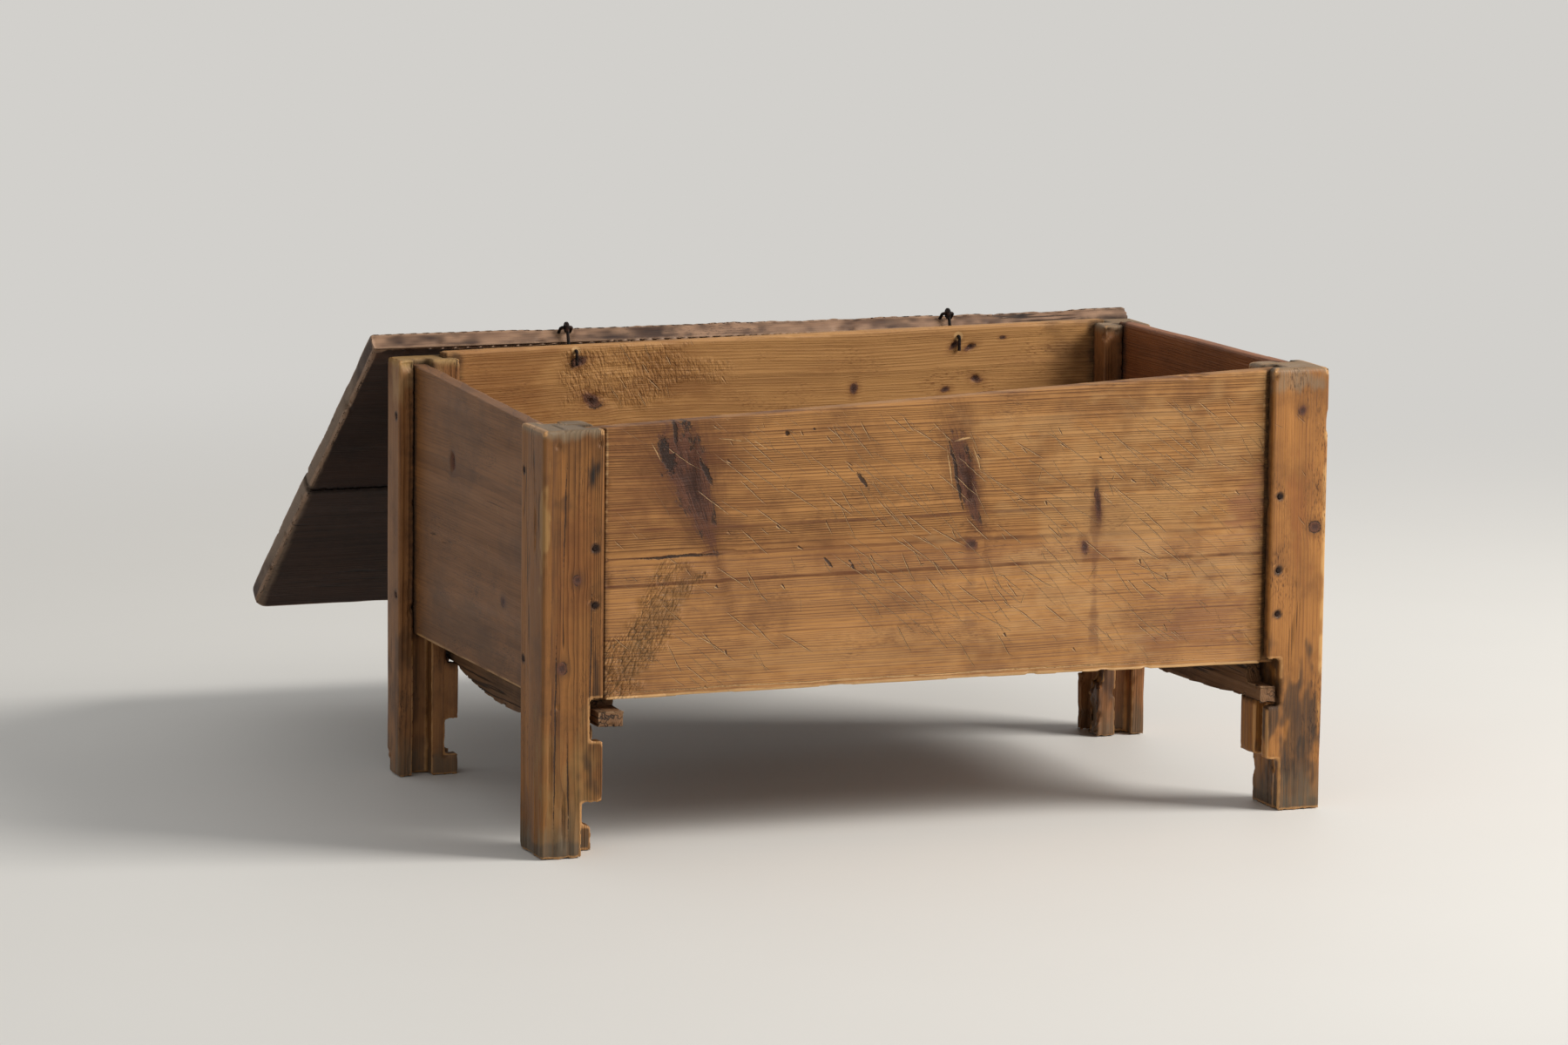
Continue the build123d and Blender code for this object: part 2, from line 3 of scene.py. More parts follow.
import json
import logging
import math
from dataclasses import dataclass, field, replace
from enum import Enum
from itertools import product
from math import radians

import bmesh
import bpy
import numpy as np
from bmesh.types import BMesh
from bpy.types import ID, Material, Mesh, Node, NodeSocket, NodeTree, Object
from mathutils import Matrix, Vector
from mathutils.kdtree import KDTree

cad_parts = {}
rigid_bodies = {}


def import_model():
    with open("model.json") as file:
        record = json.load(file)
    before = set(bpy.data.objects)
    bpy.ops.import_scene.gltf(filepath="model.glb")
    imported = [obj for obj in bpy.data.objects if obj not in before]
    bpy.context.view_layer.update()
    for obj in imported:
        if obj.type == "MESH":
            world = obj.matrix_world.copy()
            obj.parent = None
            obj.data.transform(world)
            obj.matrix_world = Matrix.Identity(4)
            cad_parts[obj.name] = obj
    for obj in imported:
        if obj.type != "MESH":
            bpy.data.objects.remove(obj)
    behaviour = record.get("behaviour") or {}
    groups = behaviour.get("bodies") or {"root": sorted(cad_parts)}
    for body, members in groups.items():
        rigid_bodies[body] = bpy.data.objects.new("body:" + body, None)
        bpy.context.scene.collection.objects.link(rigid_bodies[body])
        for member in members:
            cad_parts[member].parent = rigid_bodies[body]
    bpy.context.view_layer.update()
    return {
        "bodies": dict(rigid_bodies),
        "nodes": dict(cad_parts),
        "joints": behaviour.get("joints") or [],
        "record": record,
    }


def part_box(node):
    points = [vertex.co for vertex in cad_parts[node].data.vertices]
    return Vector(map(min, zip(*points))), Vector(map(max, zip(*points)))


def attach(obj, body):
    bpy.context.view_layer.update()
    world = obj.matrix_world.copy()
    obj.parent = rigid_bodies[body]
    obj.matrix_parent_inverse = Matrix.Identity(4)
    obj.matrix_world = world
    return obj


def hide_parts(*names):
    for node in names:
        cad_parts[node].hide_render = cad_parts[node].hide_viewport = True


LOG = logging.getLogger("chest")
Point = tuple[float, float, float]
Colour = tuple[float, float, float, float]
Value = "Wire | NodeSocket | Material | Point | Colour | float"


# --- Named options ------------------------------------------------------------------------


class Body(Enum):
    """The two bodies that the chest's one joint parts."""

    CHEST = "chest"
    LID = "lid"


class Slot(Enum):
    """The finishes that the part's record names."""

    POST = "post_wood"
    BOARD = "board_wood"
    FLOOR = "floor_wood"
    LID = "lid_wood"
    DOWEL = "dowel_wood"
    IRON = "wrought_iron"
    NAIL = "nail_iron"


class Grain(Enum):
    """Which axes run along the grain, across the face and into the depth of a timber."""

    POST = (2, 0, 1)
    FRONT = (0, 2, 1)
    END = (1, 2, 0)
    FLAT = (0, 1, 2)


# --- Small helpers ------------------------------------------------------------------------


def tone(hex_code: str) -> Colour:
    """Turns a colour as it looks into the linear values that shaders use.

    Args:
        hex_code: Six hexadecimal digits.

    Returns:
        Linear red, green and blue, with an alpha of 1.
    """
    channels = [int(hex_code[i:i + 2], 16) / 255 for i in (0, 2, 4)]
    linear = [c / 12.92 if c <= 0.04045 else ((c + 0.055) / 1.055) ** 2.4 for c in channels]
    return (linear[0], linear[1], linear[2], 1.0)


def smooth_noise(points: np.ndarray, size: float | Point, seed: int) -> np.ndarray:
    """Smooth noise on a lattice, the same on every run.

    Args:
        points: Places, one row each, in metres.
        size: How far apart the lattice stands, along each axis or along all three.
        seed: Chooses the pattern.

    Returns:
        A value from -1 to 1 for each point.
    """
    scaled = points / np.asarray(size, float)
    cell = np.floor(scaled).astype(np.int64)
    part = scaled - cell
    part = part * part * (3 - 2 * part)
    total = np.zeros(len(points))
    for corner in product((0, 1), repeat=3):
        at = cell + np.array(corner)
        mixed = at[:, 0] * 73856093 ^ at[:, 1] * 19349663 ^ at[:, 2] * 83492791 ^ (seed * 2654435761)
        mixed = (mixed ^ (mixed >> 13)) * 1274126177 & 0xFFFFFFFF
        mixed = (mixed ^ (mixed >> 16)) & 0xFFFF
        share = np.where(corner, part, 1 - part).prod(axis=1)
        total += share * (mixed / 32767.5 - 1)
    return total


def leaning(away: np.ndarray, lean: float) -> np.ndarray:
    """Turns offsets in a timber's axes so that the first runs at a lean to the grain.

    Args:
        away: Offsets along, across and into a timber.
        lean: The angle, in radians.

    Returns:
        The turned offsets.
    """
    along = away[:, 0] * math.cos(lean) + away[:, 1] * math.sin(lean)
    across = away[:, 1] * math.cos(lean) - away[:, 0] * math.sin(lean)
    return np.stack((along, across, away[:, 2]), axis=1)


def ramp(values: np.ndarray, low: float, high: float) -> np.ndarray:
    """Rises smoothly from 0 at `low` to 1 at `high`."""
    t = np.clip((values - low) / (high - low), 0, 1)
    return t * t * (3 - 2 * t)


def falling(far: np.ndarray, reach: float) -> np.ndarray:
    """Falls from 1 at no distance, to about a third at `reach` and then to nothing."""
    return np.exp(-((far / reach) ** 2))


def planted(places: np.ndarray | list[Vector]) -> KDTree:
    """A tree for finding the nearest of some places.

    Args:
        places: The places.

    Returns:
        The tree.
    """
    tree = KDTree(max(len(places), 1))
    for i, place in enumerate(places):
        tree.insert(place, i)
    tree.balance()
    return tree


def placed(name: str, data: ID) -> Object:
    """A new object in the scene.

    Args:
        name: Its name.
        data: Its mesh, lamp or camera.

    Returns:
        The object.
    """
    made = bpy.data.objects.new(name, data)
    bpy.context.scene.collection.objects.link(made)
    return made


def baked(carrier: Object, name: str) -> Mesh:
    """The mesh that an object's modifiers make of it; the object goes.

    Args:
        carrier: The object.
        name: The new mesh's name.

    Returns:
        The mesh.
    """
    depsgraph = bpy.context.evaluated_depsgraph_get()
    mesh = bpy.data.meshes.new_from_object(carrier.evaluated_get(depsgraph), depsgraph=depsgraph)
    mesh.name = name
    bpy.data.objects.remove(carrier)
    return mesh


# --- Node trees ---------------------------------------------------------------------------


class Wire:
    """A node's output, whose sums, products and powers become new nodes."""

    def __init__(self, graph: "Graph", socket: NodeSocket) -> None:
        """Keeps the output and the graph that it belongs to."""
        self.graph = graph
        self.socket = socket

    def __add__(self, other: Value) -> "Wire":
        """The sum with another wire, a number or a vector."""
        return self.graph.combine("ADD", self, other)

    def __radd__(self, other: Value) -> "Wire":
        """The sum with a plain value that stands first."""
        return self.graph.combine("ADD", other, self)

    def __sub__(self, other: Value) -> "Wire":
        """What is left when the other value is taken away."""
        return self.graph.combine("SUBTRACT", self, other)

    def __rsub__(self, other: Value) -> "Wire":
        """What is left of a plain value."""
        return self.graph.combine("SUBTRACT", other, self)

    def __mul__(self, other: Value) -> "Wire":
        """The product, on each axis apart for vectors."""
        return self.graph.combine("MULTIPLY", self, other)

    def __truediv__(self, other: Value) -> "Wire":
        """The share, on each axis apart for vectors."""
        return self.graph.combine("DIVIDE", self, other)

    def __pow__(self, other: Value) -> "Wire":
        """The power."""
        return self.graph.combine("POWER", self, other)


class Graph:
    """A node tree, with a short call for each kind of node that the finishes use."""

    def __init__(self, tree: NodeTree) -> None:
        """Keeps the tree that the calls add to."""
        self.tree = tree

    @classmethod
    def material(cls, name: str) -> tuple[Material, "Graph"]:
        """A new material and its empty graph.

        Args:
            name: The material's name.

        Returns:
            The material and its graph.
        """
        made = bpy.data.materials.new(name)
        made.use_nodes = True
        made.node_tree.nodes.clear()
        return made, cls(made.node_tree)

    def node(self, kind: str, inputs: dict | None = None, **settings: object) -> Node:
        """Adds a node.

        Args:
            kind: Blender's name for the node's type.
            inputs: Values, sockets or wires for its inputs, by name or by number.
            settings: Its other properties.

        Returns:
            The new node.
        """
        made = self.tree.nodes.new(kind)
        for name, value in settings.items():
            setattr(made, name, value)
        for key, value in (inputs or {}).items():
            self.feed(value, made.inputs[key])
        return made

    def out(self, kind: str, inputs: dict | None = None, output: int | str = 0, **settings: object) -> Wire:
        """Adds a node and gives one of its outputs."""
        return Wire(self, self.node(kind, inputs, **settings).outputs[output])

    def outputs(self, node: Node) -> dict[str, Wire]:
        """A node's outputs by name."""
        return {socket.name: Wire(self, socket) for socket in node.outputs if socket.name}

    def feed(self, value: Value, socket: NodeSocket) -> None:
        """Links a wire or a socket to an input, or sets the input to a plain value.

        Args:
            value: What goes in.
            socket: The input.
        """
        if isinstance(value, Wire):
            value = value.socket
        if isinstance(value, NodeSocket):
            self.tree.links.new(value, socket)
        else:
            socket.default_value = value

    def math(self, operation: str, *values: Value, clamp: bool = False) -> Wire:
        """A Math node's result."""
        return self.out("ShaderNodeMath", dict(enumerate(values)), operation=operation, use_clamp=clamp)

    def vector_math(self, operation: str, *values: Value) -> Wire:
        """A Vector Math node's vector."""
        return self.out("ShaderNodeVectorMath", dict(enumerate(values)), operation=operation)

    def combine(self, operation: str, first: Value, second: Value) -> Wire:
        """Arithmetic on two values, made on each axis where either of them is a vector.

        Args:
            operation: Blender's name for the sum.
            first: The first value.
            second: The second value.

        Returns:
            The result.
        """
        for value in (first, second):
            if isinstance(value, tuple) or isinstance(value, Wire) and value.socket.type == "VECTOR":
                return self.vector_math(operation, first, second)
        return self.math(operation, first, second)

    def length(self, across: Wire, deep: Wire) -> Wire:
        """The distance that two offsets at a right angle make."""
        return self.math("SQRT", across ** 2.0 + deep ** 2.0)

    def turned(self, vector: Value, angle: Value, axis: str = "Z") -> Wire:
        """A vector turned round an axis."""
        inputs = {"Vector": vector, "Angle": angle}
        return self.out("ShaderNodeVectorRotate", inputs, rotation_type=f"{axis}_AXIS")

    def split(self, vector: Value) -> list[Wire]:
        """A vector's three values."""
        return list(self.outputs(self.node("ShaderNodeSeparateXYZ", {0: vector})).values())

    def join(self, x: Value = 0.0, y: Value = 0.0, z: Value = 0.0) -> Wire:
        """A vector from three values."""
        return self.out("ShaderNodeCombineXYZ", {0: x, 1: y, 2: z})

    def noise(self, vector: Value, scale: Value = 1.0, detail: float = 2.0, rough: float = 0.5) -> Wire:
        """A noise value of 0 to 1."""
        inputs = {"Vector": vector, "Scale": scale, "Detail": detail, "Roughness": rough}
        return self.out("ShaderNodeTexNoise", inputs)

    def cells(self, vector: Value, scale: Value) -> dict[str, Wire]:
        """What a Voronoi texture tells of the cell nearest to each place."""
        inputs = {"Vector": vector, "Scale": scale}
        return self.outputs(self.node("ShaderNodeTexVoronoi", inputs, feature="F1"))

    def step(self, value: Value, low: Value, high: Value, start: Value = 0.0, end: Value = 1.0) -> Wire:
        """Goes smoothly from `start` to `end` as the value goes from `low` to `high`."""
        inputs = {"Value": value, "From Min": low, "From Max": high, "To Min": start, "To Max": end}
        return self.out("ShaderNodeMapRange", inputs, interpolation_type="SMOOTHSTEP")

    def paint(self, share: Value, under: Value, over: Value, blend: str = "MIX") -> Wire:
        """Lays one colour over another by a share of 0 to 1."""
        return self.out("ShaderNodeMix", {0: share, 6: under, 7: over}, 2, data_type="RGBA", blend_type=blend)

    def surface(self, inputs: dict, height: Value, strength: float, distance: float) -> None:
        """Ends a material.

        Args:
            inputs: What the principled shader is given, by name.
            height: How high each place stands, from 0 to about 1.
            strength: How strongly the height bends the light.
            distance: How far a height of 1 stands out, in metres.
        """
        bump = {"Height": height, "Strength": strength, "Distance": distance}
        inputs = {**inputs, "Normal": self.out("ShaderNodeBump", bump)}
        self.node("ShaderNodeOutputMaterial", {"Surface": self.out("ShaderNodeBsdfPrincipled", inputs)})

    def seen(self) -> Wire:
        """Is 1 for what the camera sees, straight, mirrored or through glass, and 0 for light.

        Returns:
            The mask.
        """
        ray = self.outputs(self.node("ShaderNodeLightPath"))
        direct = self.math("MAXIMUM", ray["Is Camera Ray"], ray["Is Glossy Ray"])
        return self.math("MAXIMUM", direct, ray["Is Transmission Ray"])

    def effect(self, group: NodeTree, **inputs: Value) -> dict[str, Wire]:
        """Places a node group, fills its inputs by name, and gives its outputs by name.

        Args:
            group: The group.
            inputs: Its inputs by name.

        Returns:
            Its outputs by name.
        """
        placed = self.node("ShaderNodeGroup", node_tree=group)
        for name, value in inputs.items():
            self.feed(value, placed.inputs[name])
        return self.outputs(placed)

    def give(self, **outputs: Value) -> NodeTree:
        """Ends a node group with one output for each name, and gives its tree.

        Args:
            outputs: What the group puts out, by name.

        Returns:
            The tree.
        """
        for name in outputs:
            self.tree.interface.new_socket(name, in_out="OUTPUT", socket_type="NodeSocketFloat")
        self.node("NodeGroupOutput", outputs)
        return self.tree


class Effects:
    """The effects that several finishes share, each a node group that is built once."""

    def __init__(self) -> None:
        """Builds every group."""
        self.rings = self.build_rings()
        self.fibre = self.build_fibre()
        self.knot = self.build_knot()
        self.checks = self.build_checks()
        self.score = self.build_score()
        self.torn = self.build_torn()
        self.cuts = self.build_cuts()
        self.holes = self.build_holes()
        self.wear = self.build_wear()
        self.grime = self.build_grime()

    @staticmethod
    def start(name: str, **inputs: Value) -> tuple[Graph, dict[str, Wire]]:
        """Starts a node group that has a Vector input and others.

        Args:
            name: The group's name.
            inputs: The other inputs by name, each with its first value: a number, or a vector.

        Returns:
            The group's graph, and its inputs by name.
        """
        tree = bpy.data.node_groups.new(name, "ShaderNodeTree")
        for label, value in {"Vector": (0.0, 0.0, 0.0), **inputs}.items():
            kind = "NodeSocketVector" if isinstance(value, tuple) else "NodeSocketFloat"
            tree.interface.new_socket(label, in_out="INPUT", socket_type=kind).default_value = value
        graph = Graph(tree)
        return graph, graph.outputs(graph.node("NodeGroupInput"))

    def build_rings(self) -> NodeTree:
        """Year rings round the tree's heart, which a plane cuts as lines, flames or arcs.

        Returns:
            The group. Late is 1 at the dark end of a year's growth.
        """
        graph, at = self.start("pine_rings", Across=0.0, Deep=0.0, Width=0.003, Waver=0.01, Bend=0.0,
                               Seed=0.0)
        seed = graph.join(at["Seed"], at["Seed"], 0.0)
        slow = graph.noise(at["Vector"] * (1.6, 3.0, 3.0) + seed, 1.0, 1.0) - 0.5
        quick = graph.noise(at["Vector"] * (9.0, 22.0, 22.0) + seed, 1.0, 2.0) - 0.5
        _, across, deep = graph.split(at["Vector"])
        across = across + slow * at["Waver"] + (quick * (at["Waver"] * 0.16) + at["Bend"]) - at["Across"]
        reach = graph.length(across, deep - at["Deep"])
        good_years = graph.noise(graph.join(reach * 70.0, at["Seed"], 0.0), 1.0, 2.0)
        years = reach / at["Width"] + good_years * 4.0
        return graph.give(Late=graph.math("FRACT", years) ** 3.0)

    def build_fibre(self) -> NodeTree:
        """Streaks, fibres, and specks of dirt in short runs along the grain.

        Returns:
            The group, with a value of 0 to 1 for each.
        """
        graph, at = self.start("pine_fibre", Seed=0.0)
        place = at["Vector"] + graph.join(at["Seed"], at["Seed"], at["Seed"])
        streak = graph.noise(place * (2.2, 30.0, 30.0), 1.0, 4.0, 0.6)
        fibre = graph.noise(place * (16.0, 460.0, 460.0), 1.0, 3.0, 0.6)
        specks = graph.step(graph.noise(place * (150.0, 800.0, 800.0), 1.0, 3.0), 0.54, 0.62)
        flock = graph.step(graph.noise(place * (9.0, 22.0, 22.0), 1.0, 4.0, 0.6), 0.48, 0.70)
        return graph.give(Streak=streak, Fibre=fibre, Speck=specks * flock)

    def build_knot(self) -> NodeTree:
        """A branch knot: its wood, the disturbed wood round it, and its broken rim.

        Returns:
            The group. Its Knot input is a place in the nearest knot's own measure, along and
            across it, and 1 where that knot may show.
        """
        graph, at = self.start("branch_knot", Knot=(9.0, 9.0, 0.0), Ragged=0.35)
        run, side, near = graph.split(at["Knot"])
        near = graph.step(near, 0.9, 1.0)
        apart = graph.length(run, side)
        lumps = graph.noise(at["Vector"], 75.0, 5.0, 0.7) - 0.5
        threads = graph.noise(graph.join(run * 2.4, side * 6.5), 1.0, 4.0, 0.65) - 0.5
        uneven = (lumps + threads) * at["Ragged"]
        ragged = apart + uneven * 2.0
        rim = graph.step(graph.math("ABSOLUTE", ragged - 0.95), 0.13, 0.0)
        gate = graph.step(graph.noise(at["Vector"], 38.0, 1.0), 0.5, 0.62)
        core = graph.step(ragged, 1.25, 0.7)
        heart = graph.step(ragged + threads, 0.8, 0.05)
        halo = graph.step(apart + uneven * 3.0, 2.6, 0.7)
        return graph.give(Core=core * near, Heart=heart * near, Halo=halo * near, Rim=rim * gate * near)

    def build_checks(self) -> NodeTree:
        """Drying checks: thin straight cracks along the grain.

        Returns:
            The group, with a mask.
        """
        graph, at = self.start("drying_checks", Thin=0.01, Share=0.4, Seed=0.0)
        place = at["Vector"] + graph.join(at["Seed"], at["Seed"], at["Seed"])
        line = graph.noise(place * (2.6, 72.0, 72.0), 1.0, 2.0, 0.45) - 0.5
        line = graph.step(graph.math("ABSOLUTE", line), at["Thin"], 0.0)
        low = 0.72 - at["Share"] * 0.4
        gate = graph.step(graph.noise(place * (5.0, 26.0, 26.0), 1.0, 2.0), low, low + 0.08)
        return graph.give(Mask=line * gate)

    def build_score(self) -> NodeTree:
        """Thin lines: shakes, cracks and scribed lines, wavering a little.

        Returns:
            The group, with a mask. Its Line input is a place in the nearest line's own measure:
            along it in half lengths, across it in half widths, and 1 where the line may show.
        """
        graph, at = self.start("score_line", Line=(9.0, 9.0, 0.0))
        run, side, near = graph.split(at["Line"])
        luck = graph.noise(at["Vector"], 70.0, 2.0)
        side = (side + (graph.noise(at["Vector"], 26.0, 3.0) - 0.5) * 4.0) / (0.5 + luck)
        crumbs = graph.noise(at["Vector"], 300.0, 3.0, 0.6) - 0.5
        apart = graph.length(run, side) + crumbs * 1.3
        kept = graph.step(near, 0.9, 1.0) * graph.step(luck, 0.26, 0.36)
        return graph.give(Mask=graph.step(apart, 1.05, 0.6) * kept)

    def build_torn(self) -> NodeTree:
        """Torn grain: small scales that stand up where the plane went against the wood.

        Returns:
            The group. Height is 1 on the scales, and Crease is 1 between them.
        """
        graph, at = self.start("torn_grain", Lean=0.0, Size=0.005)
        place = graph.turned(at["Vector"], at["Lean"]) / graph.join(at["Size"], at["Size"], 0.02)
        place = place * (0.6, 1.45, 1.0)
        wobble = graph.out("ShaderNodeTexNoise", {"Vector": place, "Scale": 0.8, "Detail": 2.0}, 1)
        place = place + (wobble - (0.5, 0.5, 0.5)) * (1.6, 1.6, 1.6)
        cell = graph.cells(place, 1.0)
        slope = graph.split(place - cell["Position"])[0]
        height = 1.0 - cell["Distance"] ** 2.0 + slope * 0.5
        return graph.give(Height=height, Crease=graph.step(cell["Distance"], 0.5, 0.85))

    def build_cuts(self) -> NodeTree:
        """Cuts and scratches: strokes that lean about one way and lie in bundles.

        Returns:
            The group. Groove is the cut and Burr is the wood that it raised beside itself.
        """
        graph, at = self.start("cut_marks", Lean=0.0, Spread=0.4, Scale=20.0, Stretch=1.0, Long=0.02,
                               Thin=0.0005, Taper=0.2, Share=0.6, Seed=0.0)
        place = at["Vector"] + graph.join(at["Seed"], at["Seed"], 0.0)
        along, across, _ = graph.split(graph.turned(place, at["Lean"]))
        across = across + (graph.noise(place, 9.0, 2.0) - 0.5) * 0.012
        flat = graph.join(along / at["Stretch"], across)
        cell = graph.cells(flat, at["Scale"])
        away = (flat - cell["Position"]) * graph.join(at["Stretch"], 1.0, 1.0)
        turn, reach, chance = graph.split(cell["Color"])
        along, across, _ = graph.split(graph.turned(away, (turn - 0.5) * at["Spread"]))
        across = across + (graph.noise(place, 120.0, 3.0, 0.6) - 0.5) * 0.0018
        run = along / (at["Long"] * (reach * 0.9 + 0.3))
        thick = at["Thin"] * (1.25 - reach) * (1.0 - run * at["Taper"])
        thick = thick * (graph.noise(place, 210.0, 2.0) + 0.35)
        flock = graph.step(graph.noise(cell["Position"], 5.0, 1.0), 0.36, 0.60, 0.15, 1.3)
        kept = graph.math("LESS_THAN", chance, at["Share"] * flock)
        kept = graph.step(graph.math("ABSOLUTE", run), 1.0, 0.4) * kept
        groove = graph.step(graph.math("ABSOLUTE", across), thick, thick * 0.2)
        burr = graph.step(graph.math("ABSOLUTE", across + thick * 1.3), thick, thick * 0.1)
        return graph.give(Groove=groove * kept, Burr=burr * kept)

    def build_holes(self) -> NodeTree:
        """The flight holes of furniture beetles, few and round.

        Returns:
            The group, with a mask.
        """
        graph, at = self.start("beetle_holes", Scale=28.0, Share=0.2, Radius=0.0008)
        cell = graph.cells(at["Vector"], at["Scale"])
        hole = graph.step(cell["Distance"] / at["Scale"], at["Radius"], at["Radius"] * 0.6)
        return graph.give(Mask=hole * graph.math("LESS_THAN", graph.split(cell["Color"])[0], at["Share"]))

    def build_wear(self) -> NodeTree:
        """Rubbed arrises: the wood is paler and smoother where hands and cloth reach it.

        Returns:
            The group, with a mask.
        """
        graph, at = self.start("arris_wear", Arris=0.0, Amount=0.5)
        worn = at["Arris"] * (graph.noise(at["Vector"], 17.0, 5.0, 0.7) + at["Amount"] * 0.6)
        return graph.give(Mask=graph.step(worn, 0.5, 0.85))

    def build_grime(self) -> NodeTree:
        """Dirt: it gathers in blotches and where timbers meet.

        Returns:
            The group. Blotch is broad and Seam is narrow.
        """
        graph, at = self.start("grime", Seam=0.0, Scale=7.0, Seed=0.0)
        place = at["Vector"] + graph.join(at["Seed"], at["Seed"], at["Seed"])
        fine = graph.noise(place, 60.0, 4.0, 0.65)
        blotch = graph.step(graph.noise(place, at["Scale"], 5.0, 0.6) + fine * 0.25, 0.55, 0.85)
        return graph.give(Blotch=blotch, Seam=graph.step(at["Seam"] * (fine + 0.35), 0.25, 0.95))


# --- Finishes -----------------------------------------------------------------------------


@dataclass(frozen=True)
class GrainFrame:
    """Where a timber's grain lies: its axes, the point they start at, and any tilt about X."""

    grain: Grain
    origin: Point = (0.0, 0.0, 0.0)
    tilt: float = 0.0

    def of(self, points: np.ndarray) -> np.ndarray:
        """Turns places in the frame into places along, across and into the grain."""
        turn = np.array(Matrix.Rotation(-self.tilt, 3, "X"))
        return ((points - np.array(self.origin)) @ turn.T)[:, list(self.grain.value)]

    def socket(self, graph: Graph) -> Wire:
        """The same turn, made by shader nodes from Object coordinates.

        Args:
            graph: The material's graph.

        Returns:
            Places along, across and into the grain.
        """
        place = graph.out("ShaderNodeTexCoord", output="Object")
        parts = graph.split(graph.turned(place - self.origin, -self.tilt, "X"))
        return graph.join(*[parts[axis] for axis in self.grain.value])


@dataclass(frozen=True)
class Knot:
    """A branch knot, by its place along, across and into a timber."""

    place: Point
    long: float
    wide: float
    lean: float = 0.0
    deep: float = 0.06
    taper: float = 0.0

    def measure(self, grain: np.ndarray) -> np.ndarray:
        """Places along, across and into the knot, in its own half sizes.

        Args:
            grain: Places in the timber's axes, one row each.

        Returns:
            The places in the knot's measure.
        """
        away = leaning(grain - np.array(self.place), self.lean)
        run = away[:, 0] / self.long
        wide = self.wide * np.maximum(1 + self.taper * run, 0.25)
        return np.stack((run, away[:, 1] / wide, away[:, 2] / self.deep), axis=1)


@dataclass(frozen=True)
class Mark:
    """A stretch of a timber in another tone: its middle, half sizes, lean and softness."""

    place: Point
    half: Point
    colour: str = "2e2118"
    share: float = 0.85
    lean: float = 0.0
    soft: float = 0.6
    ragged: float = 0.7

    def weight(self, grain: np.ndarray, seed: int) -> np.ndarray:
        """How strongly the mark holds at places in the timber's axes.

        Args:
            grain: Places in the timber's axes, one row each.
            seed: Chooses how ragged its rim is.

        Returns:
            A value from 0 to 1 for each place.
        """
        away = np.abs(leaning(grain - np.array(self.place), self.lean)) / np.array(self.half)
        near = away.max(axis=1) < 2.2
        held = np.zeros(len(grain))
        layers = (((0.06, 0.03, 0.03), 0.55), ((0.022, 0.010, 0.010), 0.35), ((0.012, 0.0055, 0.0055), 0.3))
        noises = (smooth_noise(grain[near], size, seed + i) * share for i, (size, share) in enumerate(layers))
        uneven = sum(noises)
        held[near] = ramp(-(away[near].max(axis=1) + self.ragged * uneven), -1.0, self.soft - 1.0)
        return held


@dataclass(frozen=True)
class Score:
    """One thin line: a shake, a crack or a scribed line."""

    place: Point
    long: float
    lean: float = 0.0
    thin: float = 0.0007
    room: float = 0.012

    def measure(self, grain: np.ndarray) -> np.ndarray:
        """Places along the line in half lengths, and across and into it in metres."""
        away = leaning(grain - np.array(self.place), self.lean)
        return np.stack((away[:, 0] / self.long, away[:, 1], away[:, 2]), axis=1)


@dataclass(frozen=True)
class Strokes:
    """A field of cuts that lean about one way."""

    lean: float
    spread: float
    scale: float
    long: float
    thin: float
    share: float
    # How dark each groove is painted: its dirt and painted shade inside the cut.
    dirt: float = 0.5
    depth: float = 1.6
    seed: float = 0.0
    taper: float = 0.2
    stretch: float = 1.0


@dataclass
class Coat:
    """A wooden surface as its layers go on: its place in the timber, its colour and its height."""

    graph: Graph
    place: Wire
    colour: Colour | Wire
    height: Wire | None = None

    def effect(self, group: NodeTree, **inputs: Value) -> dict[str, Wire]:
        """Places one of the shared effects on this surface."""
        return self.graph.effect(group, Vector=self.place, **inputs)

    def kept(self, name: str, kind: str = "Fac") -> Wire:
        """A number, a vector or a colour that the timber's mesh keeps for each point."""
        return self.graph.out("ShaderNodeAttribute", output=kind, attribute_name=name)

    def layer(self, share: Value, shade: str, blend: str = "MIX") -> None:
        """Lays a colour over what is there, by a share of 0 to 1."""
        self.colour = self.graph.paint(share, self.colour, tone(shade), blend)


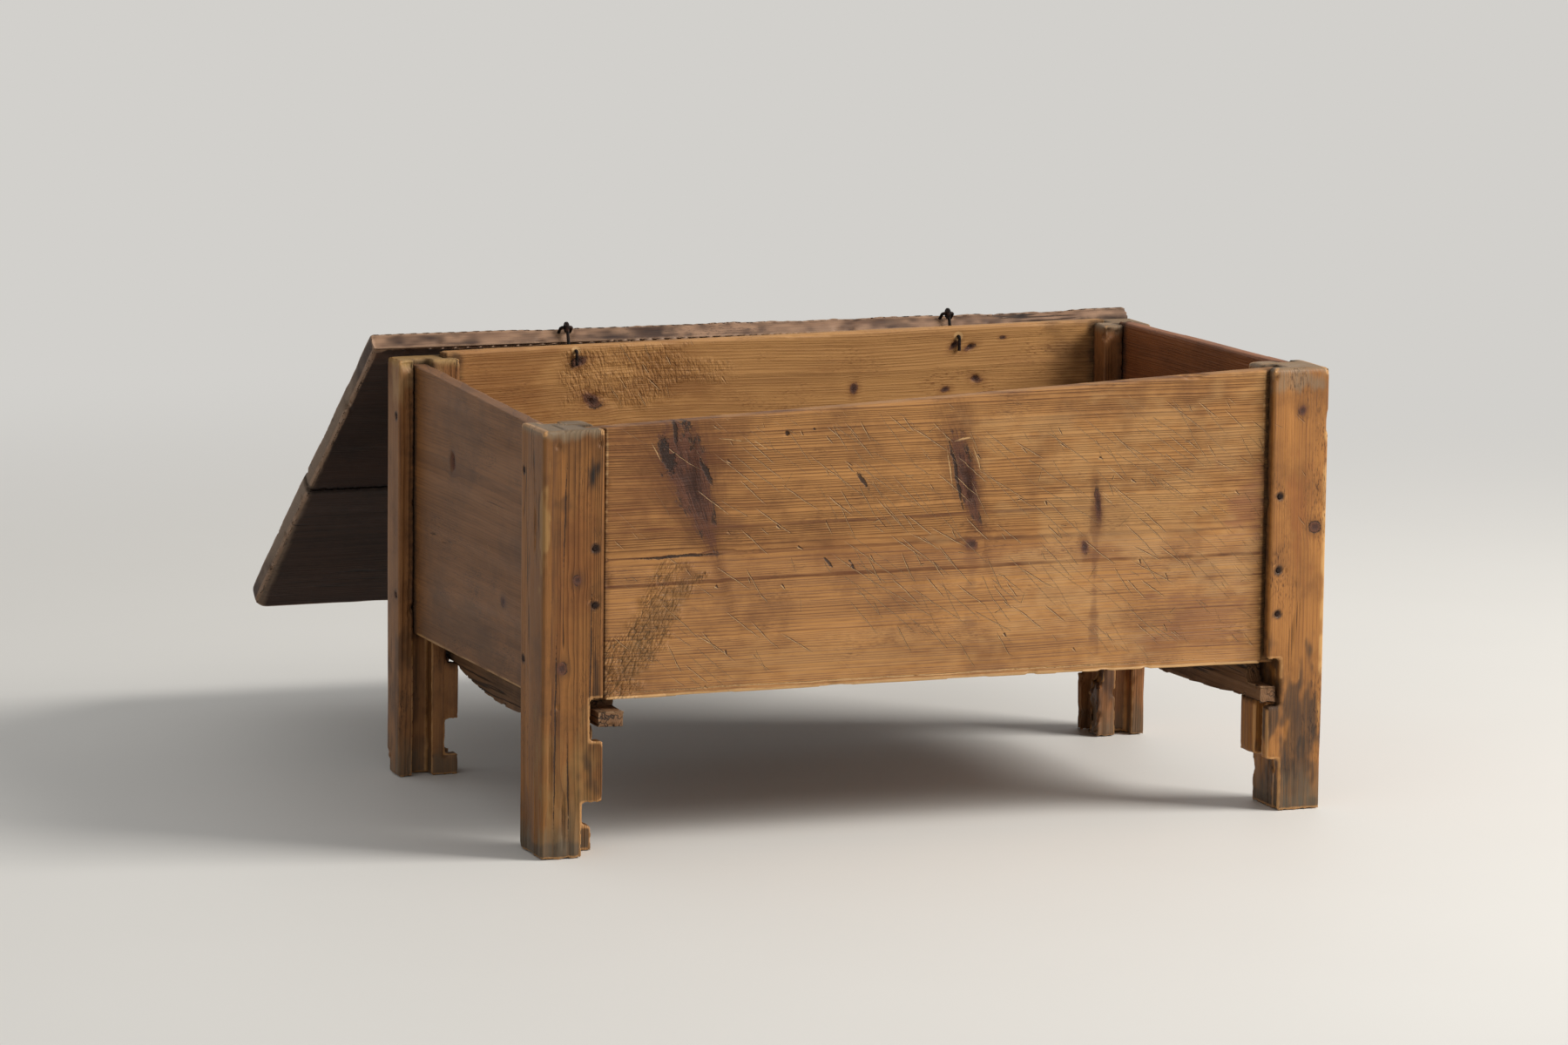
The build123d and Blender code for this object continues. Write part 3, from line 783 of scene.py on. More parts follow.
@dataclass(frozen=True)
class WoodFinish:
    """Old softwood under wax, dirt and wear."""

    name: str
    early: str = "b48048"
    late: str = "7d4c22"
    dark: str = "6b3f1c"
    grime: str = "2e2118"
    worn: str = "c79a63"
    knot: str = "5f3826"
    knot_heart: str = "37201a"
    iron_stain: str = "241813"
    check_tone: str = "1f140d"
    hole_tone: str = "120b08"
    score_tone: str = "26160d"
    cut_tone: str = "4a2c16"
    ring_width: float = 0.0028
    ring_contrast: float = 0.7
    heart: tuple[float, float] = (0.0, 0.05)
    waver: float = 0.012
    seed: float = 0.0
    blotch: float = 0.45
    blotch_scale: float = 7.0
    streak: float = 0.3
    speck: float = 0.6
    seam: float = 0.75
    wear: float = 0.5
    check_share: float = 0.3
    check_thin: float = 0.014
    relief: float = 0.35
    roughness: float = 0.56
    shine: float = 0.35
    bump: float = 0.9
    bump_height: float = 0.0011
    beetle_share: float = 0.12
    knots: tuple[Knot, ...] = ()
    knot_ragged: float = 0.35
    halo: float = 0.5
    marks: tuple[Mark, ...] = ()
    scores: tuple[Score, ...] = ()
    scribed: tuple[Score, ...] = ()
    strokes: tuple[Strokes, ...] = ()
    worked: tuple[Mark, ...] = ()
    torn: tuple[Mark, ...] = ()
    tear_depth: float = 2.4
    tear_size: float = 0.0052

    def material(self, effects: Effects, frame: GrainFrame) -> Material:
        """Builds the finish for one timber.

        Args:
            effects: The shared node groups.
            frame: The timber's grain.

        Returns:
            The material.
        """
        made, graph = Graph.material(self.name)
        coat = Coat(graph, frame.socket(graph), tone(self.early))
        fibre = coat.effect(effects.fibre, Seed=self.seed)
        grime = coat.effect(effects.grime, Seam=coat.kept("seam"), Scale=self.blotch_scale, Seed=self.seed)
        self.grow(coat, effects, fibre)
        coat.layer(grime["Blotch"] * self.blotch, self.dark)
        self.tear(coat, effects)
        if self.marks:
            tint = coat.kept("tinted") * graph.step(fibre["Fibre"], 0.25, 0.6, 0.7, 1.0)
            coat.colour = graph.paint(tint, coat.colour, coat.kept("tint", "Color"))
        coat.layer(fibre["Speck"] * self.speck, self.dark, "MULTIPLY")
        self.branch(coat, effects)
        wear = coat.effect(effects.wear, Arris=coat.kept("arris"), Amount=self.wear)["Mask"]
        coat.layer(wear * 0.7, self.worn)
        self.cut(coat, effects)
        checks = coat.effect(effects.checks, Thin=self.check_thin, Share=self.check_share, Seed=self.seed)
        holes = coat.effect(effects.holes, Share=self.beetle_share)
        coat.layer(grime["Seam"] * self.seam, self.grime)
        coat.layer(coat.kept("iron") * 0.85, self.iron_stain)
        coat.layer(checks["Mask"] * 0.85, self.check_tone)
        coat.layer(holes["Mask"], self.hole_tone)
        height = coat.height - checks["Mask"] * 2.0 - holes["Mask"] * 2.0
        dull = (fibre["Streak"] - 0.5) * 0.3 + self.roughness + grime["Seam"] * 0.25
        dull = graph.math("SUBTRACT", dull, wear * 0.1, clamp=True)
        inputs = {"Base Color": coat.colour, "Roughness": dull, "Specular IOR Level": self.shine}
        graph.surface(inputs, height, self.bump, self.bump_height)
        return made

    def grow(self, coat: Coat, effects: Effects, fibre: dict[str, Wire]) -> None:
        """Lays on the growth lines, the streaks and the fibres.

        Args:
            coat: The surface so far.
            effects: The shared node groups.
            fibre: The streaks and the fibres, by name.
        """
        step = coat.graph.step
        late = coat.effect(
            effects.rings, Across=self.heart[0], Deep=self.heart[1], Width=self.ring_width, Waver=self.waver,
            Bend=coat.kept("bend"), Seed=self.seed,
        )["Late"]
        coat.height = late * self.relief + fibre["Fibre"] * 0.5
        lines = late * step(fibre["Streak"], 0.3, 0.65, 0.35, 1.0)
        lines = lines * step(fibre["Fibre"], 0.3, 0.65, 0.55, 1.1)
        coat.layer(lines * self.ring_contrast, self.late)
        coat.layer(step(fibre["Streak"], 0.35, 0.75, 0.0, self.streak), self.dark)
        coat.layer(step(fibre["Fibre"], 0.45, 0.75, 0.0, 0.3), self.late)

    def tear(self, coat: Coat, effects: Effects) -> None:
        """Adds the torn grain, if there is any.

        Args:
            coat: The surface so far.
            effects: The shared node groups.
        """
        if self.torn:
            mask = coat.kept("torn")
            scales = coat.effect(effects.torn, Lean=-self.torn[0].lean, Size=self.tear_size)
            # The tops of the scales are painted pale as a painted highlight, and the creases between them
            # dark as painted shade.
            coat.layer(coat.graph.step(scales["Height"], 0.9, 1.3, 0.0, 0.35) * mask, self.worn)
            coat.layer(scales["Crease"] * mask * self.torn[0].share, self.torn[0].colour)
            coat.height = coat.height + scales["Height"] * mask * self.tear_depth

    def branch(self, coat: Coat, effects: Effects) -> None:
        """Adds the knots, if there are any.

        Args:
            coat: The surface so far.
            effects: The shared node groups.
        """
        if self.knots:
            knot = coat.effect(effects.knot, Knot=coat.kept("knot", "Vector"), Ragged=self.knot_ragged)
            coat.layer(knot["Halo"] * self.halo, self.dark)
            coat.layer(knot["Core"] * 0.9, self.knot)
            coat.layer(knot["Heart"] * 0.8, self.knot_heart)
            coat.layer(knot["Rim"], self.grime)
            coat.height = coat.height - knot["Rim"] * 1.5 - knot["Heart"] * 0.8

    def cut(self, coat: Coat, effects: Effects) -> None:
        """Adds the cuts, with the wood that each raised beside itself, and the single lines.

        Args:
            coat: The surface so far.
            effects: The shared node groups.
        """
        for strokes in self.strokes:
            marks = coat.effect(
                effects.cuts, Lean=-strokes.lean, Spread=strokes.spread, Scale=strokes.scale,
                Stretch=strokes.stretch, Long=strokes.long, Thin=strokes.thin, Taper=strokes.taper,
                Share=strokes.share, Seed=self.seed + strokes.seed,
            )
            groove, burr = (marks[name] * coat.kept("worked") for name in ("Groove", "Burr"))
            # The pale raised wood on one side of each cut is partly worn wood and partly a painted highlight
            # on the lit wall; the dark groove is dirt and painted shade.
            coat.layer(burr * 0.7, self.worn)
            coat.layer(groove * strokes.dirt, self.cut_tone)
            coat.height = coat.height - groove * strokes.depth + burr * (strokes.depth * 0.3)
        single = ((self.scores, "score", self.score_tone, 0.88), (self.scribed, "scribed", self.worn, 0.6))
        for lines, name, shade, share in single:
            if lines:
                line = coat.effect(effects.score, Line=coat.kept(name, "Vector"))["Mask"]
                coat.layer(line * share, shade)
                coat.height = coat.height - line * 2.4


@dataclass(frozen=True)
class IronFinish:
    """Hand-forged iron, black with scale and brown with old rust."""

    name: str
    scale: str = "1b1716"
    rust: str = "4a2a1b"
    pit: str = "0f0c0b"
    roughness: float = 0.62
    bump: float = 0.8
    bump_height: float = 0.0004

    def material(self) -> Material:
        """Builds the finish.

        Returns:
            The material.
        """
        made, graph = Graph.material(self.name)
        place = graph.out("ShaderNodeTexCoord", output="Object")
        blotch = graph.step(graph.noise(place, 140.0, 4.0, 0.65), 0.45, 0.68)
        pits = graph.noise(place, 900.0, 3.0, 0.6)
        colour = graph.paint(blotch, tone(self.scale), tone(self.rust))
        colour = graph.paint(pits * 0.5, colour, tone(self.pit))
        metal = graph.step(blotch, 0.1, 0.9, 0.75, 0.1)
        inputs = {"Base Color": colour, "Roughness": blotch * 0.22 + self.roughness, "Metallic": metal}
        graph.surface(inputs, pits, self.bump, self.bump_height)
        return made


# --- Making pieces ------------------------------------------------------------------------


@dataclass(frozen=True)
class Dent:
    """A hollow in a timber: its middle from the carcase's corner, its radii and its depth."""

    middle: Point
    radii: Point
    depth: float
    ragged: float = 0.35


class Workshop:
    """Turns the frame's solids into worn pieces."""

    def __init__(self, frame: dict) -> None:
        """Keeps the frame and samples the surface of every solid once.
        """
        self.nodes: dict[str, Object] = frame["nodes"]
        self.effects = Effects()
        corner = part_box("post_front_left")[0]
        self.corner = Vector((corner.x, corner.y, 0.0))
        self.samples = {name: self.surface_points(name) for name in self.nodes}

    def spot(self, x: float, y: float, z: float) -> Point:
        """A place measured in metres from the carcase's front left corner on the floor."""
        return (x + self.corner.x, y + self.corner.y, z)

    def frame(self, grain: Grain, x: float = 0.0, y: float = 0.0) -> GrainFrame:
        """The frame of a timber that stands square, measured from a spot on the floor."""
        return GrainFrame(grain, self.spot(x, y, 0.0))

    def merged(self, node: str) -> BMesh:
        """A copy of a solid's mesh with its loose triangles joined up.

        Args:
            node: The solid.

        Returns:
            The copy.
        """
        copy = bmesh.new()
        copy.from_mesh(self.nodes[node].data)
        bmesh.ops.remove_doubles(copy, verts=copy.verts, dist=1e-6)
        bmesh.ops.recalc_face_normals(copy, faces=copy.faces)
        return copy

    def surface_points(self, node: str, pitch: float = 0.012, most: int = 90) -> np.ndarray:
        """Points about a pitch apart on a solid's faces, in at most so many steps along one.

        Args:
            node: The solid.
            pitch: How far apart the points are.
            most: The most steps along one triangle.

        Returns:
            The points, one row each.
        """
        found = []
        mesh = self.nodes[node].data
        mesh.calc_loop_triangles()
        corners = np.array([v.co for v in mesh.vertices])
        for triangle in mesh.loop_triangles:
            a, b, c = corners[list(triangle.vertices)]
            longest = max(np.linalg.norm(side) for side in (b - a, c - a, c - b))
            steps = min(max(1, int(longest / pitch)), most)
            for i in range(steps + 1):
                row = a + (b - a) * i / steps
                end = a + (c - a) * i / steps
                across = max(1, int(np.linalg.norm(end - row) / pitch))
                found.extend(row + (end - row) * j / across for j in range(across + 1))
        return np.array(found)

    @staticmethod
    def arris_points(copy: BMesh, least_turn: float = 0.16, pitch: float = 0.003) -> KDTree:
        """The points along a solid's arrises.

        Args:
            copy: The solid's merged mesh.
            least_turn: The least angle between two faces that counts as an arris, in radians.
            pitch: How far apart the points are.

        Returns:
            A tree for finding the nearest one.
        """
        places = []
        for edge in copy.edges:
            if len(edge.link_faces) == 2 and edge.calc_face_angle(0.0) > least_turn:
                a, b = (vertex.co for vertex in edge.verts)
                steps = max(1, int((b - a).length / pitch))
                places.extend(a.lerp(b, i / steps) for i in range(steps + 1))
        return planted(places)

    def neighbours(self, node: str, reach: float = 0.03) -> KDTree:
        """The other solids' surface points near one solid.

        Args:
            node: The solid.
            reach: How near a point has to be.

        Returns:
            A tree for finding the nearest one.
        """
        low, high = (np.array(corner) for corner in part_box(node))
        places = []
        for other, points in self.samples.items():
            if other != node and "nails" not in other and "hinge" not in other:
                places.append(points[((points > low - reach) & (points < high + reach)).all(axis=1)])
        return planted(np.concatenate(places))

    def fine_mesh(self, copy: BMesh, name: str, cell: float) -> Mesh:
        """An even mesh of a solid, fine enough to be worn by hand.

        Args:
            copy: The solid's merged mesh, which is used up.
            name: The new mesh's name.
            cell: The size of its faces.

        Returns:
            The mesh.
        """
        raw = bpy.data.meshes.new(name + "_raw")
        copy.to_mesh(raw)
        copy.free()
        carrier = placed(name + "_raw", raw)
        remesh = carrier.modifiers.new("even", "REMESH")
        remesh.mode = "VOXEL"
        remesh.voxel_size = cell
        remesh.use_smooth_shade = True
        mesh = baked(carrier, name)
        bpy.data.meshes.remove(raw)
        return mesh

    @staticmethod
    def points_and_normals(mesh: Mesh) -> tuple[np.ndarray, np.ndarray]:
        """A mesh's points and the ways they face, one row each.

        Args:
            mesh: The mesh.

        Returns:
            The points and the normals.
        """
        points = np.empty(len(mesh.vertices) * 3)
        normals = np.empty(len(mesh.vertices) * 3)
        mesh.vertices.foreach_get("co", points)
        mesh.vertex_normals.foreach_get("vector", normals)
        return points.reshape(-1, 3), normals.reshape(-1, 3)

    @staticmethod
    def finish_piece(mesh: Mesh, name: str, body: Body, slot: Slot, node: str, material: Material) -> Object:
        """Makes a piece of a mesh, dresses it and hands it to its body.

        Args:
            mesh: The mesh, in the frame.
            name: The piece's name.
            body: The body it moves with.
            slot: The record's finish; not used.
            node: The solid it stands for.
            material: What it is dressed in.

        Returns:
            The piece.
        """
        mesh.materials.clear()
        mesh.materials.append(material)
        piece = placed(name, mesh)
        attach(piece, body.value)
        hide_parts(node)
        LOG.info("%s: %d faces on %s", name, len(mesh.polygons), body.value)
        return piece


@dataclass
class Timber:
    """One hewn or sawn piece of wood, worn from its solid."""

    node: str
    name: str
    finish: WoodFinish
    frame: GrainFrame
    slot: Slot
    body: Body = Body.CHEST
    cell: float = 0.0032
    unevenness: float = 0.0005
    rounding: float = 0.0011
    rounding_reach: float = 0.0035
    chips: float = 0.0022
    chip_reach: float = 0.006
    seam_reach: float = 0.012
    ridges: float = 0.0
    ridge_top: float = 0.0
    dents: tuple[Dent, ...] = ()
    rough: tuple[Mark, ...] = ()
    rough_depth: float = 0.0012
    nails: tuple[Point, ...] = ()
    nail_room: float = 0.0085
    seed: int = 1

    def build(self, shop: Workshop) -> Object:
        """Wears the timber down from its solid and dresses it.

        Args:
            shop: The workshop.

        Returns:
            The piece.
        """
        copy = shop.merged(self.node)
        arrises = shop.arris_points(copy)
        mesh = shop.fine_mesh(copy, self.name, self.cell)
        points, normals = shop.points_and_normals(mesh)
        nearest = [arrises.find(p) for p in points]
        from_arris = np.array([found[2] for found in nearest])
        on_arris = from_arris < 0.6 * self.cell
        points[on_arris] = np.array([found[0] for found in nearest])[on_arris]
        from_arris[on_arris] = 0.0
        from_nail = self.from_nails(points)
        from_arris = np.where(from_nail < self.nail_room, 1.0, from_arris)
        others = shop.neighbours(self.node)
        from_other = np.array([others.find(p)[2] for p in points])
        moved = points - normals * self.loss(shop, points, from_arris)[:, None]
        low, high = (np.array(corner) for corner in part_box(self.node))
        mesh.vertices.foreach_set("co", np.clip(moved, low, high).ravel())
        rubbed = falling(from_arris, self.chip_reach) * ramp(from_other, 0.003, self.seam_reach)
        self.keep(mesh, "arris", rubbed)
        self.keep(mesh, "seam", falling(from_other, self.seam_reach))
        stain = from_nail + 0.0022 * smooth_noise(points, 0.006, self.seed + 9)
        self.keep(mesh, "iron", ramp(-stain, -self.nail_room, -0.0045))
        self.lay_out(mesh, self.frame.of(points))
        mesh.update()
        material = self.finish.material(shop.effects, self.frame)
        return shop.finish_piece(mesh, self.name, self.body, self.slot, self.node, material)

    def loss(self, shop: Workshop, points: np.ndarray, from_arris: np.ndarray) -> np.ndarray:
        """How much wood is gone at each point, in metres.

        Args:
            shop: The workshop.
            points: Places on the solid.
            from_arris: Their distances from the nearest arris.

        Returns:
            The loss, always inwards.
        """
        grain = self.frame.of(points)
        seed = self.seed
        lost = 0.00015 + self.unevenness * (1 + smooth_noise(grain, (0.16, 0.055, 0.055), seed)) / 2
        lost += self.unevenness * 0.35 * (1 + smooth_noise(grain, (0.05, 0.016, 0.016), seed + 1)) / 2
        near = falling(from_arris, self.rounding_reach)
        lost += self.rounding * near * (0.65 + 0.35 * smooth_noise(points, 0.03, seed + 2))
        broken = smooth_noise(points, 0.021, seed + 3) + 0.5 * smooth_noise(points, 0.009, seed + 4)
        lost += self.chips * ramp(broken, 0.55, 1.0) * falling(from_arris, self.chip_reach)
        if self.ridges:
            weight = ramp(-points[:, 2], -self.ridge_top, 0.0) if self.ridge_top else np.ones(len(points))
            ridge = np.abs(smooth_noise(grain, (0.13, 0.0075, 0.0075), seed + 5))
            lost += self.ridges * weight * (1 - ridge) ** 2
        for area in self.rough:
            lumps = smooth_noise(grain, (0.010, 0.0075, 0.02), seed + 7)
            lost += self.rough_depth * area.weight(grain, seed + 6) * (1 + lumps) / 2
        for dent in self.dents:
            away = (points - np.array(shop.spot(*dent.middle))) / np.array(dent.radii)
            apart = np.sqrt((away ** 2).sum(axis=1)) + dent.ragged * smooth_noise(points, 0.008, seed + 8)
            lost += dent.depth * ramp(-apart, -1.0, -0.25)
        return lost

    def from_nails(self, points: np.ndarray) -> np.ndarray:
        """How far each point is from the nearest nail head, in metres.

        Args:
            points: Places in the frame, one row each.

        Returns:
            The distances, which are 1 m where there are no nails.
        """
        apart = np.ones(len(points))
        for nail in self.nails:
            apart = np.minimum(apart, np.linalg.norm(points - np.array(nail), axis=1))
        return apart

    def lay_out(self, mesh: Mesh, grain: np.ndarray) -> None:
        """Keeps where the finish's marks, knots and lines lie, for its material to read.

        Args:
            mesh: The timber's mesh.
            grain: Its points in the timber's axes.
        """
        finish = self.finish
        if finish.marks:
            self.lay_out_marks(mesh, grain)
        for name, areas in (("torn", finish.torn), ("worked", finish.worked)):
            if areas:
                held = [area.weight(grain, self.seed + 40) for area in areas]
                self.keep(mesh, name, np.max(held, axis=0))
        bend = np.zeros(len(grain))
        if finish.knots:
            bend = self.lay_out_knots(mesh, grain)
        self.keep(mesh, "bend", bend)
        for name, lines in (("score", finish.scores), ("scribed", finish.scribed)):
            if lines:
                self.keep(mesh, name, self.nearest_line(lines, grain), "FLOAT_VECTOR", "vector")

    def lay_out_marks(self, mesh: Mesh, grain: np.ndarray) -> None:
        """Keeps the marks' mixed colour at each point, and how strongly it holds.

        Args:
            mesh: The timber's mesh.
            grain: Its points in the timber's axes.
        """
        marks = self.finish.marks
        shade = np.tile(np.array(tone(marks[0].colour)), (len(grain), 1))
        held = np.zeros(len(grain))
        for i, mark in enumerate(marks):
            new = mark.weight(grain, self.seed + 20 + i) * mark.share
            both = new + held * (1 - new)
            part = np.where(both > 1e-4, new / np.maximum(both, 1e-4), 0.0)[:, None]
            shade = shade * (1 - part) + np.array(tone(mark.colour)) * part
            held = both
        self.keep(mesh, "tinted", held)
        self.keep(mesh, "tint", shade, "FLOAT_COLOR", "color")

    def lay_out_knots(self, mesh: Mesh, grain: np.ndarray) -> np.ndarray:
        """Keeps each point's place in its nearest knot, and gives how the grain bends there.

        Args:
            mesh: The timber's mesh.
            grain: Its points in the timber's axes.

        Returns:
            How far the growth lines move across the grain, in metres.
        """
        knots = self.finish.knots
        local = np.stack([knot.measure(grain) for knot in knots])
        apart = np.linalg.norm(local, axis=2)
        bend = np.zeros(len(grain))
        for knot, places, away in zip(knots, local, apart):
            share = ramp(-away, -3.5, -0.8) * math.cos(knot.lean) ** 2
            bend -= 0.5 * knot.wide * np.tanh(places[:, 1]) * share
        order = np.argsort(apart, axis=0)
        every = np.arange(len(grain))
        first = apart[order[0], every]
        clear = apart[order[1], every] - first > 0.5 if len(knots) > 1 else True
        near = ((first < 3.6) & clear).astype(float)
        found = local[order[0], every]
        self.keep(mesh, "knot", np.stack((found[:, 0], found[:, 1], near), axis=1), "FLOAT_VECTOR", "vector")
        return bend

    @staticmethod
    def nearest_line(lines: tuple[Score, ...], grain: np.ndarray, apart: float = 0.004) -> np.ndarray:
        """Each point's place in the measure of the line nearest to it.

        Args:
            lines: The lines.
            grain: Points in the timber's axes.
            apart: How much nearer one line must be than the next for either to show.

        Returns:
            Half lengths along, half widths across, and 1 where the line may show.
        """
        local = np.stack([line.measure(grain) for line in lines])
        long, room, thin = np.array([(line.long, line.room, line.thin) for line in lines]).T
        along, across, deep = np.abs(np.moveaxis(local, 2, 0))
        off = across + np.where(along > 1.0 + 0.006 / long[:, None], 1.0, 0.0)
        off += np.where(deep > 0.016, 1.0, 0.0)
        order = np.argsort(off, axis=0)
        first = order[0]
        every = np.arange(len(grain))
        found = local[first, every]
        near = off[first, every] < room[first]
        if len(lines) > 1:
            near &= off[order[1], every] - off[first, every] > apart
        return np.stack((found[:, 0], found[:, 1] / thin[first], near.astype(float)), axis=1)

    @staticmethod
    def keep(mesh: Mesh, name: str, values: np.ndarray, kind: str = "FLOAT", part: str = "value") -> None:
        """Keeps one value for each point of a mesh, for its finish to read."""
        attribute = mesh.attributes.new(name, kind, "POINT")
        attribute.data.foreach_set(part, values.astype(np.float32).ravel())


# --- Sub-assemblies -----------------------------------------------------------------------


@dataclass
class Posts:
    """The four corner posts, hewn square, grooved for the boards and stepped below them."""

    cell: float = 0.0026
    weathered_height: float = 0.20
    crown_depth: float = 0.014

    def build(self, shop: Workshop, nails: dict[str, list[Point]]) -> list[Object]:
        """Makes the four posts, each with the nails that stand in it.

        Args:
            shop: The workshop.
            nails: The heads that stand in each timber, by its node.

        Returns:
            The pieces.
        """
        made = []
        for maker in (self.front_left, self.front_right, self.rear_left, self.rear_right):
            timber = replace(maker(shop), cell=self.cell, ridge_top=self.weathered_height)
            made.append(replace(timber, nails=tuple(nails.get(timber.node, ()))).build(shop))
        return made

    def finish(self, end: str, top: float, marks: tuple[Mark, ...], crown_tone: str = "85745c",
               **changes: object) -> WoodFinish:
        """A post's finish, with its weathered crown and its dirty foot.

        Args:
            end: Which post it is for.
            top: The post's height.
            marks: The post's own marks.
            crown_tone: The colour of the weathered crown.
            changes: What differs from the other posts.

        Returns:
            The finish.
        """
        crown = Mark((top, 0.04, 0.04), (self.crown_depth, 0.2, 0.2), crown_tone, 0.8, soft=0.8, ragged=0.5)
        foot = Mark((0.0, 0.04, 0.04), (0.06, 0.2, 0.2), "5f5240", 0.75, soft=0.9, ragged=0.6)
        settings = dict(
            early="9a6534", late="5a3316", dark="472811", worn="c6925a", ring_width=0.0026, relief=0.8,
            check_thin=0.02, check_share=0.35, speck=0.8, heart=(0.03, 0.05), blotch_scale=13.0,
            ring_contrast=0.9,
        )
        return WoodFinish(f"post_{end}_pine", marks=(*marks, crown, foot), **{**settings, **changes})

    def front_left(self, shop: Workshop) -> Timber:
        """The front left post: dark, fissured and much handled.

        Args:
            shop: The workshop.

        Returns:
            The timber.
        """
        knots = (
            Knot((0.248, 0.027, 0.0), 0.009, 0.007, deep=0.02),
            Knot((0.361, 0.047, 0.0), 0.007, 0.006, deep=0.02),
        )
        marks = (
            Mark((0.07, 0.03, 0.0), (0.13, 0.05, 0.03), "8a6c3e", 0.6, soft=0.9),
            Mark((0.38, 0.045, 0.0), (0.14, 0.03, 0.02), "7b4418", 0.4, soft=0.9),
            Mark((0.492, 0.066, 0.0), (0.026, 0.014, 0.02), "1d130c", 1.0, soft=0.7, ragged=0.7),
            Mark((0.468, 0.031, 0.0), (0.028, 0.017, 0.02), "2a190d", 0.9, 0.5, 0.8, 0.9),
            Mark((0.235, 0.074, 0.0), (0.040, 0.006, 0.02), "24170e", 0.7, ragged=1.1),
            Mark((0.120, 0.060, 0.0), (0.030, 0.016, 0.03), "2b2016", 0.65, soft=0.9, ragged=1.2),
            Mark((0.083, 0.052, 0.0), (0.028, 0.006, 0.03), "2b2016", 0.6, soft=0.9, ragged=1.2),
            Mark((0.43, 0.003, 0.0), (0.06, 0.005, 0.01), "b08a52", 0.5, soft=0.7, ragged=1.6),
            Mark((0.008, 0.03, 0.0), (0.014, 0.06, 0.1), "3a3026", 0.85, soft=0.5, ragged=0.5),
        )
        scores = (
            Score((0.16, 0.018, 0.0), 0.13, 0.01, 0.0012),
            Score((0.09, 0.036, 0.0), 0.07, -0.02, 0.0011),
            Score((0.27, 0.066, 0.0), 0.08, 0.02, 0.0010),
            Score((0.44, 0.030, 0.0), 0.07, 0.03, 0.0009),
        )
        finish = self.finish("front_left", 0.555, marks, knots=knots, scores=scores, early="93602c",
                             late="4f2d12", dark="402610", seed=3.1, heart=(0.02, 0.06), wear=0.8, speck=0.5)
        frame = shop.frame(Grain.POST)
        dents = (
            Dent((0.020, 0.0, 0.534), (0.005, 0.004, 0.006), 0.003),
            Dent((0.078, 0.0, 0.536), (0.004, 0.004, 0.005), 0.003),
            Dent((0.021, 0.0, 0.198), (0.003, 0.004, 0.004), 0.002),
            Dent((0.0, 0.03, 0.43), (0.006, 0.004, 0.06), 0.0015),
            Dent((0.012, 0.0, 0.12), (0.0022, 0.004, 0.075), 0.0028),
            Dent((0.030, 0.0, 0.055), (0.0018, 0.004, 0.05), 0.0028),
            Dent((0.060, 0.05, 0.555), (0.03, 0.0018, 0.006), 0.004),
            Dent((0.030, 0.03, 0.555), (0.0018, 0.03, 0.006), 0.004),
        )
        return Timber("post_front_left", "front_left_post", finish, frame, Slot.POST, rounding=0.0008,
                      chips=0.0032, ridges=0.0022, dents=dents, seed=11)

    def front_right(self, shop: Workshop) -> Timber:
        """The front right post: the tallest, with a highlight painted pale along its outer arris.

        Args:
            shop: The workshop.

        Returns:
            The timber.
        """
        knots = (
            Knot((0.539, 0.043, 0.0), 0.007, 0.006, deep=0.02),
            Knot((0.382, 0.065, 0.0), 0.008, 0.009, deep=0.03),
        )
        marks = (
            # Painted highlight: the pale strip down the outer right arris stands for the lamp's light
            # catching that edge.
            Mark((0.36, 0.079, 0.0), (0.22, 0.005, 0.02), "d8a868", 0.65, ragged=0.9),
            Mark((0.580, 0.04, 0.0), (0.020, 0.06, 0.02), "82715a", 0.6),
            Mark((0.40, 0.045, 0.0), (0.10, 0.020, 0.02), "8f5226", 0.45, soft=0.9, ragged=1.0),
            Mark((0.12, 0.045, 0.0), (0.075, 0.026, 0.04), "2b231c", 0.75, soft=0.9, ragged=1.7),
            Mark((0.05, 0.045, 0.0), (0.060, 0.036, 0.06), "2b231c", 0.8, soft=0.9, ragged=1.6),
            Mark((0.15, 0.008, 0.0), (0.06, 0.010, 0.03), "2b231c", 0.8, ragged=1.0),
            Mark((0.007, 0.03, 0.0), (0.012, 0.08, 0.1), "221c17", 0.9, soft=0.5, ragged=0.5),
        )
        worked = (Mark((0.42, 0.03, 0.0), (0.14, 0.04, 0.01)),)
        strokes = (Strokes(radians(-45), 0.6, 22.0, 0.022, 0.0008, 0.5),)
        finish = self.finish("front_right", 0.597, marks, knots=knots, strokes=strokes, worked=worked,
                             relief=0.6, check_share=0.12, early="ae7539", late="6c3f1a", dark="573213",
                             wear=0.9, seed=8.4, heart=(0.11, 0.10))
        frame = shop.frame(Grain.POST, 1.022)
        dents = (
            Dent((1.104, 0.0, 0.52), (0.006, 0.02, 0.02), 0.002),
            Dent((1.05, 0.0, 0.09), (0.0018, 0.004, 0.06), 0.002),
            Dent((1.022, 0.0, 0.585), (0.01, 0.01, 0.008), 0.003),
            Dent((1.06, 0.05, 0.597), (0.035, 0.0018, 0.006), 0.004),
        )
        return Timber("post_front_right", "front_right_post", finish, frame, Slot.POST, rounding=0.0009,
                      chips=0.0034, ridges=0.0014, dents=dents, seed=23)

